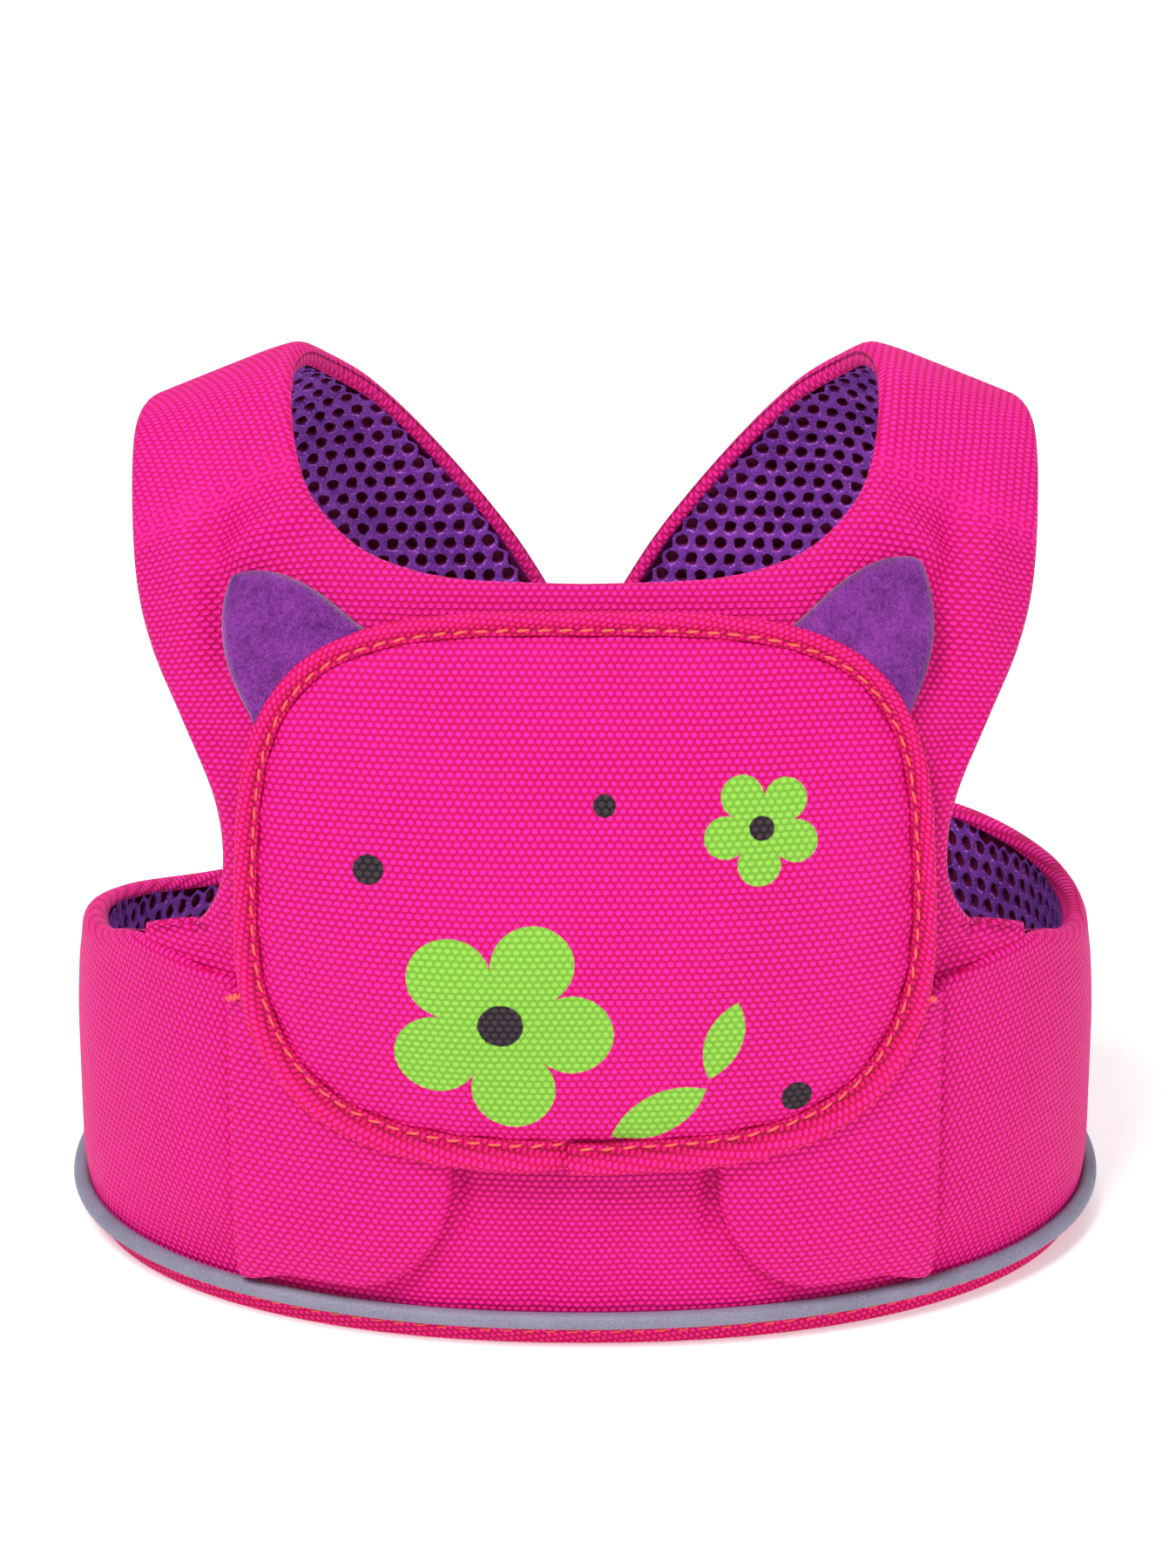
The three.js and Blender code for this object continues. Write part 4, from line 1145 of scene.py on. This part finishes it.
TAPE, TAPE_THICK, LAP, LAP_RAMP = 4.9, 4.4, 7, 9
distance = np.linspace(LAP / 2, -LAP / 2 - OUTLINE, 700)
from_start, from_end = distance[0] - distance, distance - distance[-1]
under = 1 - smooth(LAP, LAP + LAP_RAMP, from_start)
over = 1 - smooth(LAP, LAP + LAP_RAMP, from_end)
thick = mix(TAPE_THICK, TAPE_THICK / 2, np.maximum(under, over))
width = tape_width(outline_point(distance)[:, 1])
middle = outline_point(distance, -width / 2)
beside = outline_point(distance, width / 2)
lift = panel_stand(middle[:, 1]) + thick / 2 + over * (TAPE_THICK / 2 + 0.3)
tape_rows = np.array([
    # share of half the width, outwards, share of half the thickness, and how much painted shade:
    # most on the outer side, in the groove and underneath, none on top of the roll
    (0.92, -0.8, 1), (1.02, -0.3, 0.9), (1.04, 0.2, 0.5), (0.94, 0.7, 0.1), (0.7, 1.02, 0),
    (0.4, 1.1, 0), (0.1, 0.98, 0), (-0.14, 0.7, 0.3), (-0.34, 0.42, 0.9), (-0.6, 0.3, 0.8),
    (-0.85, 0.3, 0.5), (-0.98, 0.2, 0.8), (-1.0, 0.0, 1), (-0.98, -0.8, 1), (0, -1.0, 1),
])
tape_section = tape_rows[:, :2] * (TAPE / 2, TAPE_THICK / 2)
at = lifted(sheet, middle[:, 0], middle[:, 1], lift)
up = lifted(sheet, middle[:, 0], middle[:, 1], lift + 1) - at
across = lifted(sheet, beside[:, 0], beside[:, 1], lift) - at
across *= (width / TAPE / np.linalg.norm(across, axis=-1))[:, None]
# the marks carry the section's painted shade
tube(
    "panel_tape", at, across, up, tape_section, tape_finish, "pink_tape", "panel_binding",
    scale=thick / TAPE_THICK, marks=tape_rows[:, 2],
)

# %% Hem tape and reflective cord
CORD, CORD_HEIGHT, HEM_TAPE, STEPS = 3.6, HEM + 1.8, 5.6, 500


def hem_angles(height, count):
    """Angles along the hem, from the right wing's end round the front to the left wing's."""
    first, last = (side * angle_at(end, height, True) for _, side, end, _ in WINGS)
    return np.linspace(first, last, count)


angles = hem_angles(CORD_HEIGHT, STEPS)
at = lifted(belt, angles, CORD_HEIGHT, 2.1)
outward = lifted(belt, angles, CORD_HEIGHT, 3.1) - at
tube(
    "reflective_cord", at, outward, np.broadcast_to([0.0, 0, 1], at.shape),
    rounded(CORD, CORD, 16, 2), cord_finish, "grey_reflective", "reflective_piping",
)
hem_rows = np.array([
    # height, and how far the skin stands out there
    (0, -0.9), (0.25, -0.35), (0.8, -0.05), (1.6, 0), (2.8, 0), (4, 0), (4.8, -0.1),
    (5.35, -0.5), (HEM_TAPE, -1.0),
])
heights, bulge = hem_rows.T[..., None]
angles = hem_angles(HEM_TAPE, STEPS)[None]
hem_skins = [lifted(belt, angles, np.maximum(heights, 1), lift) for lift in (bulge, -5.4 - bulge)]
for skin in hem_skins:
    skin[..., 2] = heights
hem = Cloth()
hem.skins(*hem_skins, pair(belt_length(angles), heights), walls="foot top start end")
hem.piece("hem_tape", tape_finish, "pink_tape", ["hem_binding"], weld=0.005)

# %% [markdown]
# ## Smooth facing, webbing and stitches
# The facing is a fine plain cloth. Webbing is a thick narrow weave with ribs along it. A stitch is
# a short oval thread that dives into the cloth at both ends, so a row of them is one array of
# small ovals along a line.


# %% Facing, webbing and thread finishes
def fine_cloth(s):
    """A fine plain weave in purple."""
    height = floats(s, *cloth_place(s), 0.7, 0.5)
    tone = (height * 0.8 + (grain(s, 18, 2.0) - 0.5) * 0.5).ramp(-0.1, 0.95)
    return {"Base Color": tone.blend((58, 16, 108), (96, 42, 152)), "Normal": bump(s, height, 0.1)}


def webbing_cloth(s):
    """Ribs along the webbing, crossed by short floats."""
    along, girth = cloth_place(s)
    height = floats(s, along + abs(girth - 13.2) * 0.6, girth, 2.2, 1.3)
    tone = (height + (grain(s, 10, 2.0) - 0.5) * 0.5).ramp(-0.1, 1.0)
    base = tone.blend((62, 20, 112), (120, 62, 176))
    return {"Base Color": base, "Normal": bump(s, height, 0.22)}


def moulded(s):
    """Plain plastic with the faintest grain."""
    grit = grain(s, 0.5, 2.0)
    base = grain(s, 20, 2.0).blend((48, 18, 88), (58, 24, 102))
    return {"Base Color": base, "Normal": bump(s, grit, 0.02), "Roughness": 0.38 + grit * 0.12}


def thread(dark, light):
    """Twisted thread between two colours."""
    return lambda s: {"Base Color": grain(s, 0.5, 2.0).blend(dark, light)}


facing_finish = finish("purple_facing", fine_cloth, Roughness=0.7, Specular_IOR_Level=0.2)
webbing_finish = finish("purple_webbing", webbing_cloth, Roughness=0.6, Specular_IOR_Level=0.3)
plastic_finish = finish("purple_plastic", moulded, Specular_IOR_Level=0.45)
salmon, violet = thread((236, 62, 76), (255, 122, 96)), thread((128, 84, 196), (178, 140, 230))
thread_finish = finish("salmon_thread", salmon, Roughness=0.55, Specular_IOR_Level=0.25)
light_finish = finish("violet_thread", violet, Roughness=0.55, Specular_IOR_Level=0.25)
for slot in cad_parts["clasp"].material_slots:
    slot.material = plastic_finish


# %% Rows of stitches
THREAD = 0.62
oval = np.array([
    # along the stitch, as a share of its half, and how thick there
    (-1, 0), (-0.85, 0.7), (-0.4, 1), (0.4, 1), (0.85, 0.7), (1, 0),
])


def unit(vectors):
    """The vectors at length 1."""
    return vectors / np.linalg.norm(vectors, axis=-1, keepdims=True)


def stitches(name, row, look, slot, length, slant=0.12):
    """Ovals of a length at points: round the middle, closing to a point sunk in the cloth."""
    at, along, out = row
    jitter = np.random.default_rng(len(at)).normal(0, 0.05, len(at))[:, None]
    along = unit(along + unit(np.cross(out, along)) * (slant + jitter))
    aside = unit(np.cross(out, along))
    reach, girth = oval.T[:, None, :, None, None]
    turn = (np.arange(7) * np.pi / 3)[None, None, :, None]
    at, along, aside, out = (a[:, None, None, :] for a in (at, along, aside, out))
    points = at + along * reach * length / 2 - out * reach**4 * 0.4
    points = points + (aside * np.cos(turn) + out * np.sin(turn)) * girth * THREAD / 2
    cloth = Cloth()
    cloth.copies(points, points[..., :2])
    cloth.piece(name, look, slot, weld=0.002)


def row_on(surface, a, b, lift, inward=False):
    """Points on a surface with the direction of the row and the way out of the cloth."""
    at = lifted(surface, a, b, lift)
    out = unit(lifted(surface, a, b, lift + 1) - at) * (-1 if inward else 1)
    return at, unit(np.gradient(at, axis=0)), out


stops = np.arange(distance[0] - LAP - 2, distance[-1] + 1.5, -4.4)
stop_lift, stop_width, stop_thick = (
    np.interp(stops, distance[::-1], values[::-1]) for values in (lift, width, thick)
)
line = outline_point(stops, 1.15 - stop_width)
row = row_on(sheet, *line.T, stop_lift + stop_thick * 0.19)
stitches("panel_stitches", row, thread_finish, "pink_tape", 3.1)

first, last = belt_length(hem_angles(3.4, 2))
lengths = np.arange(first + 3, last - 3, 4.8)
row = row_on(belt, np.interp(lengths, belt_lengths, belt_angles), 3.5, 0.0)
stitches("hem_stitches", row, thread_finish, "pink_tape", 2.8)

steps = np.arange(6)
tack_places = [(-71.0, 79.6, 0.5), (69.4, 79.8, -0.5)]
tacks = np.vstack([
    pair(x + 0.55 * (steps - 2.5) * np.cos(turn), run + 0.55 * (steps - 2.5) * np.sin(turn))
    for x, run, turn in tack_places
])
sway = np.tile([-0.3, 0.3], len(tacks) // 2)[:, None]
at, along, out = row_on(sheet, *tacks.T, panel_stand(tacks[:, 1]) + 3.9)
across_row = unit(np.cross(out, along) + along * sway)
stitches("tack_stitches", (at, across_row, out), thread_finish, "pink_tape", 1.7, slant=0)

# %% Facing behind
for name, side, end, back in WINGS:
    u, v = spaced(60, True, True, 2.0)[None, :], spaced(50, True, True, 2.0)[:, None]
    angle, height = wing_plan(u, v, end + 5, back, inset=3.4, start=FACING_X, behind=True)
    gap = np.minimum(np.minimum(u, 1 - u) * 55, np.minimum(v, 1 - v) * 50)
    inner = -4.9 - 1.4 * smooth(-1, 2.2, gap)
    facing = Cloth()
    facing.skins(
        lifted(belt, angle * side, height, -3.5), lifted(belt, angle * side, height, inner),
        pair(belt_length(angle), height), side < 0, "foot top start end",
    )
    node = "belt_facing_" + name
    facing.piece("facing_" + name, facing_finish, "purple_facing", [node], weld=0.01, fill=0.2)
    heights = np.arange(12, back - 6, 4.4)
    starts = belt_length(angle_at(FACING_X, heights, True))
    for number, beyond in enumerate((2.2, 8.0)):
        rows = np.interp(starts + beyond, belt_lengths, belt_angles) * side
        row = row_on(belt, rows, heights, -6.2, inward=True)
        row_name = f"facing_stitches_{name}_{number}"
        stitches(row_name, row, light_finish, "purple_facing", 2.9)

# %% [markdown]
# ## The back
# Nothing of it shows in the photograph, so it is plain: a small padded yoke joins the straps, its
# webbing goes down round the belt's webbing as a loop, and the belt's webbing is held by a clasp.


# %% Yoke
def yoke_plan(u, v, inset):
    """x and run: the top edge follows the straps' ends and the foot is 50 mm wide."""
    share = np.abs(2 * u - 1)
    top_x = share * (strap_end[0] - inset)
    top = mix(yoke_run, strap_end[1], share) - 1.8 + inset
    x = np.sign(2 * u - 1) * mix(top_x, share * (25 - inset), v)
    return x, mix(top, yoke_run + 20 - inset, v)


u, v = spaced(70, True, True, 1.8)[None, :], spaced(22, True, True, 1.2)[:, None]
x, run = yoke_plan(u, v, 0.0)
over, down = np.linspace(0, 1, 41), np.linspace(0, 1, 9)
yoke_rim = np.vstack([
    pair(*yoke_plan(over, 0 * over, 0.0)),
    pair(*yoke_plan(1 + 0 * down, down, 0.0)),
    pair(*yoke_plan(over[::-1], 1 + 0 * over, 0.0)),
    pair(*yoke_plan(0 * down, down[::-1], 0.0)),
])
gap = distance_to([yoke_rim], x, run)
yoke = Cloth()
yoke.skins(
    lifted(sheet, x, run, 0.9 * smooth(2, 9, gap) - turned(gap)),
    lifted(sheet, x, run, turned(gap) + tuck(gap) - PADDING),
    pair(x, run),
)
yoke.piece("yoke_pad", pink, "pink_weave", ["back_yoke"], fill=0.4)
cells = honeycomb(40, yoke_run - 5, yoke_run + 30)
near = np.linalg.norm(cells[:, None] - yoke_rim[None], axis=-1).min(1)
net = netting(cells[inside(yoke_rim, cells) & (near > 3.2)], sheet)
x, run = yoke_plan(u, v, 1.6)
# the ground behind the holes, mostly painted dark wine as shade
net.grid(lifted(sheet, x, run, BACKING_LIFT), pair(x, run), flip=True, mark=0.8)
net.piece("yoke_mesh", knit_finish, "purple_mesh", ["yoke_lining"], fill=0.3)

# %% Webbing behind
WEB, WEB_THICK, WEB_HEIGHT, BAR, MIDDLE = 25, 1.5, 39, 16.5, -2.75
web_loop = np.hypot(3, 3) / 2 + 0.45 + WEB_THICK / 2


def belt_middle(x):
    """Plan point in the middle of the belt's padding behind, at the webbing's height."""
    return lifted(belt, angle_at(x, WEB_HEIGHT, True), WEB_HEIGHT, MIDDLE)[:2]


clasp_start, clasp_end = belt_middle(16), belt_middle(55.4)
clasp_along = unit(clasp_end - clasp_start)
clasp_aside = np.array([-clasp_along[1], clasp_along[0]])
clasp_at = (clasp_start + clasp_end) / 2 + clasp_aside * web_loop


def from_clasp(along, aside):
    """Plan points by their place along the clasp and aside from it."""
    return clasp_at + pair(along, aside) @ np.stack([clasp_along, clasp_aside])


def dense(points, step=0.7):
    """The same line with a point every step."""
    length = lengths_along(points)
    stops = np.linspace(0, length[-1], int(length[-1] / step) + 2)
    return np.stack([np.interp(stops, length, values) for values in points.T], -1)


def webbing(name, path, across, node):
    """A band of webbing along a path, as wide as it is across."""
    up = np.cross(unit(np.gradient(path, axis=0)), across)
    section = rounded(WEB, WEB_THICK, 40, 8)
    across = np.broadcast_to(across, path.shape)
    tube(name, path, across, up, section, webbing_finish, "purple_webbing", node)


half_turn = np.linspace(-np.pi / 2, np.pi / 2, 13)
for name, side, start in (("right", -1, belt_middle(-29.4)), ("left", 1, belt_middle(59.4))):
    bend = from_clasp(side * (BAR - web_loop * np.cos(half_turn)), web_loop * np.sin(half_turn))
    line = dense(np.vstack([start, bend, from_clasp(side * (BAR + 1.8), web_loop)]))
    path = np.column_stack([line, np.full(len(line), WEB_HEIGHT)])
    webbing("webbing_" + name, path, [0, 0, 1.0], "belt_webbing_" + name)

_, start_y, start_z = lifted(sheet, 0.0, yoke_run + 20, MIDDLE)
right_start, bar_start = belt_middle(-29.4), from_clasp(-BAR, -web_loop)
middle_y = mix(right_start[1], bar_start[1], right_start[0] / (right_start[0] - bar_start[0]))
leg, foot, head = WEB_THICK + 1.9, WEB_HEIGHT - WEB / 2 - 1.9, WEB_HEIGHT + WEB / 2 + 6
swing = np.linspace(0, np.pi, 13)
line = dense(np.vstack([
    [(start_y, start_z - 0.3), (middle_y + leg, head)],
    pair(middle_y + leg * np.cos(swing), foot - leg * np.sin(swing)),
    [(middle_y - leg, head - 3)],
]))
path = np.column_stack([np.zeros(len(line)), line])
webbing("yoke_web", path, [1.0, 0, 0], "yoke_webbing")

# %% [markdown]
# ## The ears
# Two soft plush ears stand out from under the panel's tape. The plush is a short dense pile. It
# scatters light at grazing angles, which the sheen gives, and its tufts lean this way and that,
# which the mottling and a fine bump give.


# %% Plush
def plush(s):
    """Tufts of three sizes: clouds where the pile leans, tufts, and single hairs."""
    lean = grain(s, 9, 2.0)
    tuft = grain(s, 1.1, 2.0)
    hair = grain(s, 0.45, 2.0)
    tone = (lean * 0.35 + tuft * 0.4 + hair * 0.6).ramp(0.36, 0.98)
    base = tone.blend((62, 16, 84), (148, 62, 162))
    return {"Base Color": base, "Normal": bump(s, tuft * 0.5 + hair, 0.4)}


pile = {"Roughness": 0.95, "Specular_IOR_Level": 0.05, "Sheen_Weight": 0.35, "Sheen_Roughness": 0.4}
plush_finish = finish("purple_plush", plush, **pile)

# %% Ears
EAR_HIGH, EAR_HALF, EAR_PAD = 25, 16.1, 3.8
ears = [
    # name, side, share of the outline where its side is, and how far above that the ear stands
    ("right", -1, 0.75, 50.9),
    ("left", 1, 0.25, 53.6),
]
for name, side, share, above in ears:
    u = np.linspace(0, 1, 41)[None, :]
    u = u - 0.06 * np.sin(2 * np.pi * u)
    tip = 0.8 + 0.2 * np.sin(np.linspace(0, np.pi / 2, 14))
    v = np.concatenate([np.linspace(-0.08, 0.8, 30)[:-1], tip])[:, None]
    half = EAR_HALF * (1 - np.clip(v, 0, 1) ** 0.75) ** 0.75
    along = share * OUTLINE + side * above + (2 * u - 1) * half + side * 2.2 * v
    plan = outline_point(along, CLEARANCE + v * EAR_HIGH + 0 * u)
    gap = np.minimum((1 - np.abs(2 * u - 1)) * half, (1 - v) * EAR_HIGH)
    outer = CLEARANCE + EAR_PAD * np.sqrt(1 - (1 - np.clip(gap / 2.8, 0, 1)) ** 2)
    x, run = plan[..., 0], plan[..., 1]
    ear = Cloth()
    ear.skins(
        lifted(sheet, x, run, outer), lifted(sheet, x, run, CLEARANCE), plan, True, "foot"
    )
    node = "ear_" + name
    ear.piece("ear_pad_" + name, plush_finish, "purple_plush", [node], weld=0.01, fill=0.5)

# %% [markdown]
# ## Floor, light and camera
# A pale floor and large soft lights, as in a studio. The camera stands 24 degrees above the floor
# on a long lens.

# %% Stage
FLOOR = 4.0
floor_mesh = bpy.data.meshes.new("floor")
floor_corners = [(-FLOOR, -FLOOR, 0), (FLOOR, -FLOOR, 0), (FLOOR, FLOOR, 0), (-FLOOR, FLOOR, 0)]
floor_mesh.from_pydata(floor_corners, [], [(0, 1, 2, 3)])
placed("floor", floor_mesh)


def paper(s):
    """Near white with the faintest unevenness, glowing a little: painted light that washes out the
    pink light the harness throws on it.
    """
    white = grain(s, 400, 1.0).blend((246, 246, 246), (250, 250, 250))
    return {"Base Color": white, "Emission Color": white}


# the floor glows a little: painted light, not a lamp
glowing_paper_look = {"Roughness": 0.9, "Specular_IOR_Level": 0.1, "Emission_Strength": 0.3}
floor_mesh.materials.append(finish("studio_paper", paper, **glowing_paper_look))

world = bpy.data.worlds.new("studio")
bpy.context.scene.world = world
world.use_nodes = True
world.node_tree.nodes["Background"].inputs["Color"].default_value = (1, 1, 1, 1)
world.node_tree.nodes["Background"].inputs["Strength"].default_value = 0.4
lamps = [
    # name, place, size, power
    ("key", (-0.6, -1.0, 1.7), 0.7, 33),
    ("fill", (1.3, -1.1, 0.9), 1.4, 9),
    ("back", (0.2, 1.3, 1.5), 1.4, 12),
]
for name, at, size, power in lamps:
    light = bpy.data.lights.new(name, "AREA")
    light.size, light.energy = size, power
    away = np.array(at) - (0, 0, 0.1)
    tilt, turn = np.arctan2(np.hypot(away[0], away[1]), away[2]), np.arctan2(away[0], -away[1])
    placed(name, light, at, (tilt, 0, turn))

lens = bpy.data.cameras.new("camera")
lens.lens = 125
camera_at, camera_turn = (0.0006, -1.0930, 0.5882), (np.radians(66), 0, 0)
bpy.context.scene.camera = placed("camera", lens, camera_at, camera_turn)
bpy.context.scene.view_settings.view_transform = "Standard"
